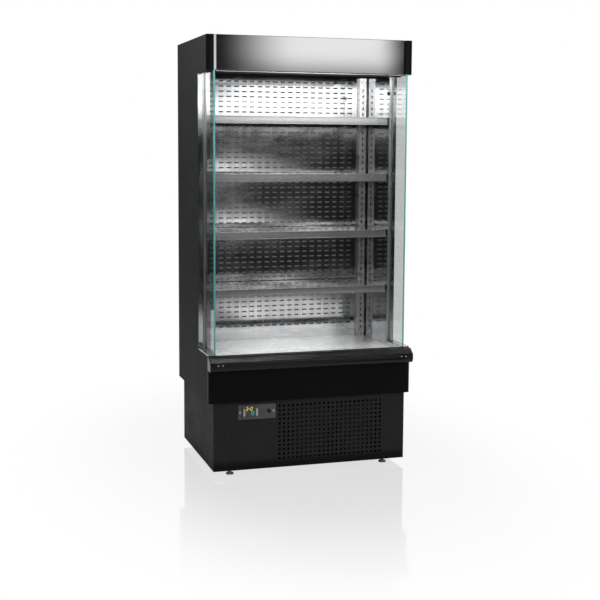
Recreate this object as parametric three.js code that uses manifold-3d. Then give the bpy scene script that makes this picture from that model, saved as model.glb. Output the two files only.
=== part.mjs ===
// Open multideck display fridge: a plug-in refrigerated cabinet with glass end panes.
// Millimetres, +Z up. X runs across the front, -Y is the shopper's side.
// The origin is on the floor, in the middle of the cabinet's footprint.

import * as THREE from 'three';
import { mergeVertices } from 'three/addons/utils/BufferGeometryUtils.js';
import Module from 'manifold-3d';

const wasm = await Module();
wasm.setup();

// ---------------------------------------------------------------------------
// Driving dimensions
// ---------------------------------------------------------------------------

// whole cabinet
const overallWidth = 1000;
const overallDepth = 725;
const overallHeight = 2040;
const fitGap = 0.3; // between pieces that touch on the real cabinet
const slideGap = 0.6; // round pieces that lift or slide out

// front planes, each behind the one before
const bumperReach = 35; // bumper nose in front of the front panel
const plinthSetback = 15; // plinth behind the front panel
const canopySetback = 30; // canopy fascia behind the front panel
const glassSetback = 20; // glass edge behind the front panel
const panelReturn = 27; // front panel's side returns, front to back
const glassReach = 195; // visible glass, front edge to side wall

// insulated shell
const sideWall = 46;
const backWall = 55;
const roofSlab = 45;
const tubFloor = 46;
const tubFrontWall = 34;
const tubRim = 540; // top of the tub's front wall above the floor
const drainRadius = 11;

// heights
const footHeight = 28;
const plinthHeight = 326;
const sillHeight = 576; // glass sill above the floor
const bumperHeight = 70;
const canopyHeight = 160;
const deckHeight = 556;

// plinth sheet metal
const plinthInset = 25; // each side, under the side walls
const plinthSheet = 3;
const cornerReturn = 86;
const floorSheet = 3;
const floorBoss = 14; // raised foot bosses on the base floor
const floorBossWall = 8;

// front panel and bumper
const panelSheet = 4;
const panelCorner = 20;
const bumperCap = 50; // length of each end cap
const bumperNoseRound = 22;
const bumperCrown = 9; // fall of the bumper's top towards the nose

// glass ends
const glassThickness = 8;
const glassInset = 33; // pane's middle plane from the outer side face
const trimWidth = 21;
const trimDepth = 15;
const trimGroove = 10;

// canopy
const capWidth = 34;
const capDepth = 37;
const capCorner = 16;
const fasciaSheet = 4;
const fasciaBulge = 6;
const fasciaLip = 16;
const lampRadius = 13;
const lampBehindFascia = 96;
const lampRise = 24; // lamp axis above the canopy's lower edge
const lampBracket = 6;
const rollerRadius = 26;
const rollerPin = 7;
const rollerPinLength = 6;
const rollerBehindFascia = 56;
const rollerRise = 55; // roller axis above the canopy's lower edge
const pullBarHeight = 13;
const pullBarDepth = 24;
const pullBarWall = 3;
const pullBarBehindFascia = 10;
const pullBarEndGap = 9; // each end, to the side wall
const combDepth = 60;
const combHeight = 20;
const combBehindFascia = 117;
const combCells = 14;
const combWall = 4;
const ceilingSheet = 2;
const ceilingRise = 6; // ceiling panel above the canopy's lower edge

// rear air duct, uprights and shelves
const ductDepth = 98;
const ductSheet = 2;
const ductSlotWidth = 90;
const ductSlotHeight = 8;
const ductSlotRows = 10;
const ductSlotColumns = 6;
const uprightWidth = 35;
const uprightDepth = 24;
const uprightSheet = 2;
const uprightFromWall = 7;
const uprightSlotWidth = 6;
const uprightSlotHeight = 15;
const slotPitch = 30.6;
const slotsPerShelf = 9;
const shelfCount = 4;
const lowestShelfTop = 855.5;
const shelfSheet = 2;
const shelfLip = 26;
const shelfEndGap = 6; // each end, to the side wall
const railHeight = 36;
const railDepth = 8;
const railLip = 5;
const railWall = 2.4;
const bracketSheet = 3;
const bracketRear = 48;
const bracketFront = 28;
const hookLength = 5;
const hookHeight = 9;

// deck and return air
const returnWidth = 85;
const returnSlots = 15;
const returnSlotWall = 10;
const returnDrop = 4; // return grille below the deck
const trayLip = 18;
const traySheet = 2;

// evaporator compartment
const coilDepth = 150;
const coilEndSpace = 74; // each end, to the side wall
const coilFins = 24;
const coilFromBack = 40;
const finGap = 6;
const fanPlateSheet = 2;
const fanPlateBehindReturn = 50;
const evapFanRadius = 58;
const evapFanFromSide = 244; // each fan's axis from its side wall
const evapMotorRadius = 22;

// machine compartment
const condenserInset = 40; // each end, inside the grille
const condenserHeight = 270;
const condenserDepth = 50;
const condenserBehindPanel = 18;
const condenserFins = 22;
const shroudSheet = 3;
const shroudGap = 10;
const condFanRadius = 95;
const condMotorRadius = 32;
const fanTipGap = 5;
const fanDepth = 22;
const motorLength = 42;
const shaftRadius = 4;
const armWidth = 12;
const armSheet = 3;
const compressorRadius = 78;
const compressorHeight = 190;
const compressorSeam = 8;
const compressorPlate = 5;
const compressorStrap = 32;
const compressorFromSide = 220; // from the plinth's left side
const compressorFromFront = 340;
const boxWidth = 110;
const boxHeight = 120;
const boxDepth = 70;
const boxLidRim = 6;
const boxBehindController = 44;
const trayWidth = 360;
const trayDepth = 240;
const trayHeight = 45;
const trayFromSide = 145; // from the plinth's right side
const trayBaseRise = 3;
const trayWall = 3;
const trayRunner = 12;

// service panel and controls
const servicePanelEndGap = 0.5; // each end, to the plinth's corner returns
const serviceSheet = 2;
const serviceFoldBack = 14;
const grilleFromPlate = 15;
const grilleFromPanelEnd = 28.5;
const grilleBottom = 60;
const grilleTop = 332;
const grilleHole = 20;
const grillePitch = 43;
const plateFromPanelEnd = 32.5;
const plateWidth = 181;
const plateBottom = 268;
const plateHeight = 70;
const plateSheet = 2;
const controllerFromPlateEnd = 18;
const controllerWidth = 78;
const controllerHeight = 60;
const controllerBezel = 7;
const controllerBody = 45;
const controllerWall = 4; // bezel beyond the body all round
const buttonWidth = 9;
const buttonHeight = 34;
const buttonDepth = 4;
const buttonProud = 1.2;
const buttonTravel = 0.8;
const buttonSide = 4; // from the bezel's end
const switchRadius = 9.5;
const switchRing = 3;
const switchRingProud = 2.5;
const switchFromPlateEnd = 33;
const switchGap = 0.4;
const switchDepth = 10;
const switchTilt = 7; // degrees each way

// levelling feet
const footFromSide = 90; // from the plinth's side
const footFromFront = 50;
const footFromBack = 50;
const footDisc = 19;
const footDiscHeight = 9;
const footStem = 6;
const footStemTop = 62;
const footStemGap = 0.5;

// ---------------------------------------------------------------------------
// Planes and levels worked out from the dimensions
// ---------------------------------------------------------------------------

const halfWidth = overallWidth / 2;
const backY = overallDepth / 2;
const noseY = -overallDepth / 2;
const panelY = noseY + bumperReach;
const plinthY = panelY + plinthSetback;
const canopyY = panelY + canopySetback;
const glassY = panelY + glassSetback;
const wallY = glassY + glassReach;
const lowerWallY = panelY + panelReturn + fitGap;
const innerX = halfWidth - sideWall;
const roomX = innerX - fitGap;
const backInnerY = backY - backWall;
const ductY = backInnerY - ductDepth;
const uprightY = ductY - fitGap - uprightDepth;

const plinthTop = footHeight + plinthHeight;
const bodyBottom = plinthTop + fitGap;
const canopyBottom = overallHeight - canopyHeight;
const bumperBottom = sillHeight - bumperHeight;
const tubTop = bodyBottom + tubFloor;
const plinthX = halfWidth - plinthInset;
const paneX = halfWidth - glassInset;
const ceilingZ = canopyBottom + ceilingRise;
const returnY = lowerWallY + tubFrontWall;
const deckFrontY = lowerWallY + returnWidth;
const deckBackY = uprightY - slideGap;
const shelfPitch = slotPitch * slotsPerShelf;
const evapFanSpread = innerX - evapFanFromSide;
const coilWidth = 2 * (innerX - coilEndSpace);

const serviceHalfWidth = plinthX - cornerReturn - servicePanelEndGap;
const plateLeft = -serviceHalfWidth + plateFromPanelEnd;
const grilleLeft = plateLeft + plateWidth + grilleFromPlate;
const grilleRight = serviceHalfWidth - grilleFromPanelEnd;
const condenserMiddle = (grilleLeft + grilleRight) / 2;
const condenserWidth = grilleRight - grilleLeft - 2 * condenserInset;
const compressorX = -plinthX + compressorFromSide;
const trayMiddle = plinthX - trayFromSide - trayWidth / 2;
const footSpread = plinthX - footFromSide;

// ---------------------------------------------------------------------------
// Materials
// ---------------------------------------------------------------------------

function finish(color, roughness, metalness) {
  return { color, roughness, metalness };
}

const finishes = {
  powderCoat: finish(0x1d1e20, 0.5, 0.1),
  glossBlack: finish(0x060606, 0.12, 0.0),
  plinthPaint: finish(0x17181a, 0.45, 0.1),
  polishedSteel: finish(0xb9bbbd, 0.14, 1.0),
  zincSteel: finish(0x8e9296, 0.4, 0.9),
  anodised: finish(0x9a9da0, 0.3, 0.9),
  blackPlastic: finish(0x101112, 0.4, 0.0),
  greyPlastic: finish(0x4b4c4e, 0.45, 0.0),
  lampGlass: finish(0xf4f7fa, 0.3, 0.0),
  fins: finish(0xa8acb0, 0.35, 0.9),
  compressorBlack: finish(0x141416, 0.35, 0.2),
  blindAlloy: finish(0xb4b6b8, 0.35, 0.8),
  blindCloth: finish(0xc9cccf, 0.8, 0.0),
};

function glassMaterial() {
  return new THREE.MeshStandardMaterial({
    color: 0xbfe6dc, roughness: 0.05, metalness: 0, transparent: true, opacity: 0.3,
  });
}

// ---------------------------------------------------------------------------
// Solid helpers
// ---------------------------------------------------------------------------

// Turns a closed three.js geometry into a solid that can be joined and cut.
function solid(geometry) {
  const bare = geometry.clone();
  bare.deleteAttribute('normal');
  bare.deleteAttribute('uv');
  const merged = mergeVertices(bare, 1e-3);
  const index = merged.index.array;
  const triangles = [];
  for (let i = 0; i < index.length; i += 3) {
    const [a, b, c] = [index[i], index[i + 1], index[i + 2]];
    if (a !== b && b !== c && c !== a) triangles.push(a, b, c);
  }
  return new wasm.Manifold(new wasm.Mesh({
    numProp: 3,
    vertProperties: new Float32Array(merged.attributes.position.array),
    triVerts: new Uint32Array(triangles),
  }));
}

function geometryOf(body) {
  const mesh = body.getMesh();
  const geometry = new THREE.BufferGeometry();
  geometry.setAttribute('position', new THREE.BufferAttribute(mesh.vertProperties, 3));
  geometry.setIndex(new THREE.BufferAttribute(mesh.triVerts, 1));
  geometry.computeVertexNormals();
  return geometry;
}

function joined(...bodies) {
  return bodies.reduce((whole, next) => whole.add(next));
}

function cut(body, ...tools) {
  return tools.reduce((rest, tool) => rest.subtract(tool), body);
}

// A block between two corners.
function block(x0, x1, y0, y1, z0, z1) {
  const box = new THREE.BoxGeometry(x1 - x0, y1 - y0, z1 - z0);
  return solid(box.translate((x0 + x1) / 2, (y0 + y1) / 2, (z0 + z1) / 2));
}

function outline(points) {
  return new THREE.Shape(points.map(([u, v]) => new THREE.Vector2(u, v)));
}

const flat = (depth) => ({ depth, bevelEnabled: false, curveSegments: 6 });

// An outline of [y, z] points drawn out along X.
function alongX(shape, x0, x1) {
  const turn = new THREE.Matrix4().makeBasis(
    new THREE.Vector3(0, 1, 0), new THREE.Vector3(0, 0, 1), new THREE.Vector3(1, 0, 0));
  return solid(new THREE.ExtrudeGeometry(shape, flat(x1 - x0)).applyMatrix4(turn).translate(x0, 0, 0));
}

// An outline of [x, z] points drawn out along Y.
function alongY(shape, y0, y1) {
  return solid(new THREE.ExtrudeGeometry(shape, flat(y1 - y0)).rotateX(Math.PI / 2).translate(0, y1, 0));
}

// An outline of [x, y] points drawn out along Z.
function alongZ(shape, z0, z1) {
  return solid(new THREE.ExtrudeGeometry(shape, flat(z1 - z0)).translate(0, 0, z0));
}

// A cylinder along Y about (x, z).
function roundY(radius, x, z, y0, y1, sides = 20) {
  const cylinder = new THREE.CylinderGeometry(radius, radius, y1 - y0, sides);
  return solid(cylinder.translate(x, (y0 + y1) / 2, 0).translate(0, 0, z));
}

// A cylinder along Z about (x, y).
function roundZ(radius, x, y, z0, z1, sides = 20) {
  const cylinder = new THREE.CylinderGeometry(radius, radius, z1 - z0, sides);
  return solid(cylinder.rotateX(Math.PI / 2).translate(x, y, (z0 + z1) / 2));
}

// A cylinder along X about (y, z).
function roundX(radius, y, z, x0, x1, sides = 20) {
  const cylinder = new THREE.CylinderGeometry(radius, radius, x1 - x0, sides);
  return solid(cylinder.rotateZ(Math.PI / 2).translate((x0 + x1) / 2, y, z));
}

// A [radius, z] profile, from the axis to the axis, turned about Z at (x, y).
function turnedZ(profile, x, y, sides = 24) {
  const points = profile.map(([r, z]) => new THREE.Vector2(r, z));
  return solid(new THREE.LatheGeometry(points, sides).rotateX(Math.PI / 2).translate(x, y, 0));
}

function mirrored(body) {
  return body.mirror([1, 0, 0]);
}

const root = new THREE.Group();

function add(name, body, look) {
  const material = look === 'glass' ? glassMaterial() : new THREE.MeshStandardMaterial(finishes[look]);
  const mesh = new THREE.Mesh(geometryOf(body), material);
  mesh.name = name;
  root.add(mesh);
  return mesh;
}

// ---------------------------------------------------------------------------
// Insulated shell
// ---------------------------------------------------------------------------

// A foamed side wall: full height at the back, reaching forward under the glass
// and above it, so that the pane stands in its open front.
function sideWallBody() {
  const capBackY = canopyY + capDepth + fitGap;
  const profile = outline([
    [lowerWallY, bodyBottom],
    [backY, bodyBottom],
    [backY, overallHeight],
    [capBackY, overallHeight],
    [capBackY, canopyBottom],
    [wallY, canopyBottom],
    [wallY, sillHeight],
    [lowerWallY, sillHeight],
  ]);
  return alongX(profile, innerX, halfWidth);
}

function insulatedTub() {
  const profile = outline([
    [lowerWallY, bodyBottom],
    [backInnerY - fitGap, bodyBottom],
    [backInnerY - fitGap, tubTop],
    [lowerWallY + tubFrontWall, tubTop],
    [lowerWallY + tubFrontWall, tubRim],
    [lowerWallY, tubRim],
  ]);
  const drain = roundZ(drainRadius, trayMiddle, 0, bodyBottom - 1, tubTop + 1, 12);
  return cut(alongX(profile, -roomX, roomX), drain);
}

function roofPanel() {
  const frontY = canopyY + fasciaBulge + fasciaSheet + fasciaLip + fitGap;
  return block(-roomX, roomX, frontY, backInnerY - fitGap, overallHeight - roofSlab, overallHeight);
}

add('side_wall_right', sideWallBody(), 'powderCoat');
add('side_wall_left', mirrored(sideWallBody()), 'powderCoat');
add('back_wall', block(-roomX, roomX, backInnerY, backY, bodyBottom, overallHeight), 'powderCoat');
add('roof_panel', roofPanel(), 'powderCoat');
add('insulated_tub', insulatedTub(), 'powderCoat');

// ---------------------------------------------------------------------------
// Front panel, bumper and glass ends
// ---------------------------------------------------------------------------

// A plate with rounded front corners and short side returns, seen from above.
function frontPanel() {
  const shape = new THREE.Shape();
  const backEdge = panelY + panelReturn;
  const inner = halfWidth - panelSheet;
  shape.moveTo(-halfWidth, backEdge);
  shape.lineTo(-halfWidth, panelY + panelCorner);
  shape.absarc(-halfWidth + panelCorner, panelY + panelCorner, panelCorner, Math.PI, 1.5 * Math.PI);
  shape.lineTo(halfWidth - panelCorner, panelY);
  shape.absarc(halfWidth - panelCorner, panelY + panelCorner, panelCorner, 1.5 * Math.PI, 2 * Math.PI);
  shape.lineTo(halfWidth, backEdge);
  shape.lineTo(inner, backEdge);
  shape.lineTo(inner, panelY + panelCorner);
  shape.lineTo(halfWidth - panelCorner, panelY + panelSheet);
  shape.lineTo(-halfWidth + panelCorner, panelY + panelSheet);
  shape.lineTo(-inner, panelY + panelCorner);
  shape.lineTo(-inner, backEdge);
  return alongZ(shape, plinthTop, bumperBottom - fitGap);
}

// The bumper's [y, z] section: a crowned top, a round nose and a flat back.
function bumperSection() {
  const shape = new THREE.Shape();
  const noseTop = sillHeight - bumperCrown;
  const topZ = noseTop - bumperNoseRound;
  const lowZ = bumperBottom + bumperNoseRound;
  const backEdge = panelY + panelReturn;
  shape.moveTo(backEdge, bumperBottom);
  shape.lineTo(backEdge, sillHeight);
  shape.quadraticCurveTo(panelY, sillHeight, noseY + bumperNoseRound, noseTop);
  shape.absarc(noseY + bumperNoseRound, topZ, bumperNoseRound, 0.5 * Math.PI, Math.PI);
  shape.lineTo(noseY, lowZ);
  shape.absarc(noseY + bumperNoseRound, lowZ, bumperNoseRound, Math.PI, 1.5 * Math.PI);
  return shape;
}

function bumperEndCap() {
  return alongX(bumperSection(), halfWidth - bumperCap, halfWidth);
}

function glassPane() {
  const rear = wallY - fitGap;
  return block(paneX - glassThickness / 2, paneX + glassThickness / 2,
    glassY, rear - (trimDepth - trimGroove), sillHeight + fitGap, canopyBottom - fitGap);
}

// A channel on the side wall's front edge that grips the pane's rear edge.
function glassTrim() {
  const rear = wallY - fitGap;
  const front = rear - trimDepth;
  const left = innerX + fitGap;
  const grooveHalf = glassThickness / 2 + fitGap;
  const profile = outline([
    [left, rear],
    [left, front],
    [paneX - grooveHalf, front],
    [paneX - grooveHalf, front + trimGroove + fitGap],
    [paneX + grooveHalf, front + trimGroove + fitGap],
    [paneX + grooveHalf, front],
    [left + trimWidth, front],
    [left + trimWidth, rear],
  ]);
  return alongZ(profile, sillHeight + fitGap, canopyBottom - fitGap);
}

add('front_panel', frontPanel(), 'glossBlack');
const railEnd = halfWidth - bumperCap - fitGap;
add('bumper_rail', alongX(bumperSection(), -railEnd, railEnd), 'blackPlastic');
add('bumper_end_right', bumperEndCap(), 'blackPlastic');
add('bumper_end_left', mirrored(bumperEndCap()), 'blackPlastic');
add('glass_right', glassPane(), 'glass');
add('glass_left', mirrored(glassPane()), 'glass');
add('glass_trim_right', glassTrim(), 'anodised');
add('glass_trim_left', mirrored(glassTrim()), 'anodised');

// ---------------------------------------------------------------------------
// Canopy
// ---------------------------------------------------------------------------

// A bowed fascia with a lip turned back along its top and bottom edges.
function canopyFascia() {
  const halfLength = halfWidth - capWidth - fitGap;
  const edgeY = canopyY + fasciaBulge;
  const lipY = edgeY + fasciaSheet + fasciaLip;
  const shape = new THREE.Shape();
  shape.moveTo(edgeY, canopyBottom);
  shape.lineTo(lipY, canopyBottom);
  shape.lineTo(lipY, canopyBottom + fasciaSheet);
  shape.lineTo(edgeY + fasciaSheet, canopyBottom + fasciaSheet);
  shape.lineTo(edgeY + fasciaSheet, overallHeight - fasciaSheet);
  shape.lineTo(lipY, overallHeight - fasciaSheet);
  shape.lineTo(lipY, overallHeight);
  shape.lineTo(edgeY, overallHeight);
  shape.quadraticCurveTo(canopyY - fasciaBulge, overallHeight - canopyHeight / 2, edgeY, canopyBottom);
  return alongX(shape, -halfLength, halfLength);
}

// A corner post with a rounded outer edge, seen from above. Its inner side
// steps in behind the fascia to meet the roof.
function canopyEnd() {
  const shape = new THREE.Shape();
  const inner = halfWidth - capWidth;
  const stepY = canopyY + fasciaBulge + fasciaSheet + fasciaLip + fitGap;
  shape.moveTo(inner, canopyY);
  shape.lineTo(halfWidth - capCorner, canopyY);
  shape.absarc(halfWidth - capCorner, canopyY + capCorner, capCorner, 1.5 * Math.PI, 2 * Math.PI);
  shape.lineTo(halfWidth, canopyY + capDepth);
  shape.lineTo(innerX, canopyY + capDepth);
  shape.lineTo(innerX, stepY);
  shape.lineTo(inner, stepY);
  return alongZ(shape, canopyBottom, overallHeight);
}

// The lamp: a tube with square end holders that screw to the side walls.
function canopyLamp() {
  const y = canopyY + lampBehindFascia;
  const z = canopyBottom + lampRise;
  const tube = roundX(lampRadius, y, z, -roomX + 1, roomX - 1, 16);
  const half = lampRadius + 2;
  const holder = (x0) => block(x0, x0 + lampBracket, y - half, y + half, z - half, z + half);
  return joined(tube, holder(-roomX), holder(roomX - lampBracket));
}

// The night blind's roller, with a thin pin at each end.
function blindRoller() {
  const y = canopyY + rollerBehindFascia;
  const z = canopyBottom + rollerRise;
  const drum = roundX(rollerRadius, y, z, -roomX + rollerPinLength, roomX - rollerPinLength, 24);
  return joined(drum, roundX(rollerPin, y, z, -roomX, roomX, 16));
}

// The blind's pull bar: a finger-grip channel that parks under the fascia.
function blindPullBar() {
  const top = canopyBottom - fitGap;
  const bottom = top - pullBarHeight;
  const front = canopyY + pullBarBehindFascia;
  const rear = front + pullBarDepth;
  const end = innerX - pullBarEndGap;
  const section = outline([
    [front, bottom],
    [front + pullBarWall, bottom],
    [front + pullBarWall, top - pullBarWall],
    [rear - pullBarWall, top - pullBarWall],
    [rear - pullBarWall, bottom + pullBarWall],
    [rear, bottom + pullBarWall],
    [rear, top],
    [front, top],
  ]);
  return alongX(section, -end, end);
}

// A comb of cells that straightens the falling air curtain.
function airComb() {
  const y0 = canopyY + combBehindFascia;
  const y1 = y0 + combDepth;
  let body = block(-roomX, roomX, y0, y1, ceilingZ, ceilingZ + combHeight);
  const pitch = (2 * roomX - combWall) / combCells;
  for (let i = 0; i < combCells; i += 1) {
    const x0 = -roomX + combWall + i * pitch;
    body = cut(body, block(x0, x0 + pitch - combWall, y0 + combWall, y1 - combWall,
      ceilingZ - 1, ceilingZ + combHeight + 1));
  }
  return body;
}

function ceilingPanel() {
  const y0 = canopyY + combBehindFascia + combDepth + fitGap;
  return block(-roomX, roomX, y0, ductY - fitGap, ceilingZ, ceilingZ + ceilingSheet);
}

add('canopy_fascia', canopyFascia(), 'glossBlack');
add('canopy_end_right', canopyEnd(), 'glossBlack');
add('canopy_end_left', mirrored(canopyEnd()), 'glossBlack');
add('canopy_lamp', canopyLamp(), 'lampGlass');
add('blind_roller', blindRoller(), 'blindCloth');
add('blind_pull_bar', blindPullBar(), 'blindAlloy');
add('air_comb', airComb(), 'greyPlastic');
add('ceiling_panel', ceilingPanel(), 'polishedSteel');

// ---------------------------------------------------------------------------
// Rear duct panel, uprights and shelves
// ---------------------------------------------------------------------------

// The slotted back panel of the display room, with rows of long air slots.
function ductPanel() {
  const bottom = tubTop + fitGap;
  const top = ceilingZ + ceilingSheet;
  const panel = block(-roomX, roomX, ductY, ductY + ductSheet, bottom, top);
  const clearX = innerX - uprightFromWall - uprightWidth;
  const columnPitch = (2 * clearX) / ductSlotColumns;
  const rowPitch = (top - deckHeight) / (ductSlotRows + 1);
  const slots = [];
  for (let row = 1; row <= ductSlotRows; row += 1) {
    for (let column = 0; column < ductSlotColumns; column += 1) {
      const x = -clearX + (column + 0.5) * columnPitch;
      const z = deckHeight + row * rowPitch;
      slots.push(block(x - ductSlotWidth / 2, x + ductSlotWidth / 2, ductY - 1, ductY + ductSheet + 1,
        z - ductSlotHeight / 2, z + ductSlotHeight / 2));
    }
  }
  return cut(panel, ...slots);
}

const uprightX = innerX - uprightFromWall - uprightWidth / 2;
const topHookZ = (index) => lowestShelfTop + index * shelfPitch - shelfSheet - hookHeight / 2 - 2;

// A channel post with a row of hook slots in its front web.
function upright() {
  const half = uprightWidth / 2;
  const backEdge = uprightY + uprightDepth;
  const bottom = tubTop + fitGap;
  const top = ceilingZ - fitGap;
  const section = outline([
    [uprightX - half, backEdge],
    [uprightX - half, uprightY],
    [uprightX + half, uprightY],
    [uprightX + half, backEdge],
    [uprightX + half - uprightSheet, backEdge],
    [uprightX + half - uprightSheet, uprightY + uprightSheet],
    [uprightX - half + uprightSheet, uprightY + uprightSheet],
    [uprightX - half + uprightSheet, backEdge],
  ]);
  const slots = [];
  const lowest = topHookZ(0) - slotPitch * Math.floor((topHookZ(0) - deckHeight) / slotPitch - 1);
  for (let z = lowest; z < top - slotPitch; z += slotPitch) {
    const low = z + hookHeight / 2 + 1 - uprightSlotHeight;
    slots.push(block(uprightX - uprightSlotWidth / 2, uprightX + uprightSlotWidth / 2,
      uprightY - 1, uprightY + uprightSheet + 1, low, low + uprightSlotHeight));
  }
  return cut(alongZ(section, bottom, top), ...slots);
}

const shelfFrontY = wallY + railDepth + fitGap;
const shelfBackY = uprightY - fitGap;
const shelfHalf = innerX - shelfEndGap;

// A bracket under one end of a shelf, with two hooks that enter the upright.
function bracket(top) {
  const side = outline([
    [shelfFrontY + shelfSheet, top],
    [shelfBackY, top],
    [shelfBackY, top - bracketRear],
    [shelfBackY - bracketFront, top - bracketRear],
    [shelfFrontY + shelfSheet, top - bracketFront],
  ]);
  const x0 = uprightX - bracketSheet / 2;
  const x1 = uprightX + bracketSheet / 2;
  const hookTop = top - shelfSheet - 2;
  const hook = (z1) => block(x0, x1, shelfBackY - 1, shelfBackY + fitGap + hookLength, z1 - hookHeight, z1);
  return joined(alongX(side, x0, x1), hook(hookTop), hook(hookTop - slotPitch));
}

// A sheet pan turned upside down: a top plate with a lip folded down all round.
function foldedPan(x0, x1, y0, y1, top, sheet, depth) {
  return cut(block(x0, x1, y0, y1, top - depth, top),
    block(x0 + sheet, x1 - sheet, y0 + sheet, y1 - sheet, top - depth - 1, top - sheet));
}

// A folded steel shelf on its two brackets.
function shelf(top) {
  const pan = foldedPan(-shelfHalf, shelfHalf, shelfFrontY, shelfBackY, top, shelfSheet, shelfLip);
  const right = bracket(top - shelfSheet / 2);
  return joined(pan, right, mirrored(right));
}

// A price rail: a shallow channel with a lip along its top and bottom.
function priceRail(top) {
  const bottom = top - railHeight;
  const rear = shelfFrontY - fitGap;
  const front = rear - railDepth;
  const web = rear - railWall;
  const section = outline([
    [rear, bottom],
    [rear, top],
    [front, top],
    [front, top - railLip],
    [web, top - railLip],
    [web, bottom + railLip],
    [front, bottom + railLip],
    [front, bottom],
  ]);
  return alongX(section, -shelfHalf, shelfHalf);
}

add('back_panel', ductPanel(), 'polishedSteel');
add('upright_right', upright(), 'polishedSteel');
add('upright_left', mirrored(upright()), 'polishedSteel');
for (let i = 0; i < shelfCount; i += 1) {
  const top = lowestShelfTop + (shelfCount - 1 - i) * shelfPitch;
  add(`shelf_${i + 1}`, shelf(top), 'polishedSteel');
  add(`price_rail_${i + 1}`, priceRail(top), 'anodised');
}

// ---------------------------------------------------------------------------
// Deck, return air and evaporator compartment
// ---------------------------------------------------------------------------

// A plate with slots across it, over the return air throat.
function returnGrille() {
  const top = deckHeight - returnDrop;
  const y1 = deckFrontY - fitGap;
  const plate = block(-roomX, roomX, lowerWallY, y1, top - traySheet, top);
  const foot = block(-roomX, roomX, lowerWallY, lowerWallY + tubFrontWall / 2,
    tubRim + fitGap, top - traySheet / 2);
  const pitch = (2 * roomX - returnSlotWall) / returnSlots;
  const slots = [];
  for (let i = 0; i < returnSlots; i += 1) {
    const x0 = -roomX + returnSlotWall + i * pitch;
    slots.push(block(x0, x0 + pitch - returnSlotWall, returnY, y1 - returnSlotWall,
      top - traySheet - 1, top + 1));
  }
  return cut(joined(plate, foot), ...slots);
}

// The lift-out deck tray with folded edges.
function deckTray() {
  const half = roomX - slideGap;
  return foldedPan(-half, half, deckFrontY, deckBackY, deckHeight, traySheet, trayLip);
}

const fanPlateY = deckFrontY + fanPlateBehindReturn;
const fanPlateTop = deckHeight - traySheet - fitGap;
const evapFanZ = tubTop + (fanPlateTop - tubTop) / 2;

// The upright plate that carries the two evaporator fans and props the deck.
function fanPlate() {
  const inside = roomX - slideGap - traySheet - slideGap;
  const plate = block(-inside, inside, fanPlateY, fanPlateY + fanPlateSheet, tubTop + fitGap, fanPlateTop);
  const hole = (x) => roundY(evapFanRadius + fanTipGap, x, evapFanZ, fanPlateY - 1, fanPlateY + fanPlateSheet + 1, 28);
  return cut(plate, hole(-evapFanSpread), hole(evapFanSpread));
}

// A motor with cross arms whose feet reach back to the plate round the blade.
function fanMotor(x, z, plateBack, bladeRadius, motorRadius) {
  const bladeBack = plateBack + fanTipGap + fanDepth;
  const armY = bladeBack + fanTipGap;
  const reach = bladeRadius + fanTipGap + armWidth;
  const motor = roundY(motorRadius, x, z, armY, armY + motorLength, 16);
  const shaft = roundY(shaftRadius, x, z, bladeBack - fanDepth / 2, armY + 1, 10);
  const bar = block(x - reach, x + reach, armY, armY + armSheet, z - armWidth / 2, z + armWidth / 2);
  const foot = (x0) => block(x0, x0 + armSheet, plateBack + fitGap, armY + 1, z - armWidth / 2, z + armWidth / 2);
  return joined(motor, shaft, bar, foot(x - reach), foot(x + reach - armSheet));
}

// A hub with pitched blades, running on the motor's shaft.
function fanBlade(x, z, plateBack, radius, hubRadius, blades) {
  const y0 = plateBack + fanTipGap;
  const bore = shaftRadius + fitGap;
  const hub = roundY(hubRadius, 0, 0, y0, y0 + fanDepth, 18);
  let rotor = hub;
  for (let i = 0; i < blades; i += 1) {
    const vane = new THREE.BoxGeometry(radius - hubRadius / 2, 2, radius * 0.62);
    vane.rotateX(THREE.MathUtils.degToRad(90 - 28));
    vane.translate((radius + hubRadius / 2) / 2, 0, 0);
    vane.rotateY((2 * Math.PI * i) / blades);
    vane.translate(0, y0 + fanDepth / 2, 0);
    rotor = rotor.add(solid(vane));
  }
  const rim = roundY(radius, 0, 0, y0, y0 + fanDepth, 32);
  const pocket = roundY(bore, 0, 0, y0 + fanDepth / 2 - 1, y0 + fanDepth + 1, 16);
  return rotor.intersect(rim).subtract(pocket).translate([x, 0, z]);
}

// A finned coil block: a solid header along the bottom with upright fins.
function finBlock(x0, x1, y0, y1, z0, z1, fins) {
  const pitch = (x1 - x0 + finGap) / fins;
  const base = 12;
  const points = [[x0, z0], [x1, z0]];
  for (let i = fins - 1; i >= 0; i -= 1) {
    const left = x0 + i * pitch;
    const right = left + pitch - finGap;
    points.push([right, z1], [left, z1]);
    if (i > 0) points.push([left, z0 + base], [left - finGap, z0 + base]);
  }
  return alongY(outline(points), y0, y1);
}

function evaporatorCoil() {
  const y1 = ductY - coilFromBack;
  return finBlock(-coilWidth / 2, coilWidth / 2, y1 - coilDepth, y1,
    tubTop + fitGap, fanPlateTop, coilFins);
}

add('return_grille', returnGrille(), 'greyPlastic');
add('deck_tray', deckTray(), 'polishedSteel');
add('evaporator_coil', evaporatorCoil(), 'fins');
add('evaporator_fan_plate', fanPlate(), 'zincSteel');
const evapPlateBack = fanPlateY + fanPlateSheet;
const evapFans = { right: evapFanSpread, left: -evapFanSpread };
for (const [side, x] of Object.entries(evapFans)) {
  add(`evaporator_fan_motor_${side}`,
    fanMotor(x, evapFanZ, evapPlateBack, evapFanRadius, evapMotorRadius), 'blackPlastic');
  add(`evaporator_fan_blade_${side}`,
    fanBlade(x, evapFanZ, evapPlateBack, evapFanRadius, evapMotorRadius, 5), 'greyPlastic');
}

// ---------------------------------------------------------------------------
// Plinth and machine compartment
// ---------------------------------------------------------------------------

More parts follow.
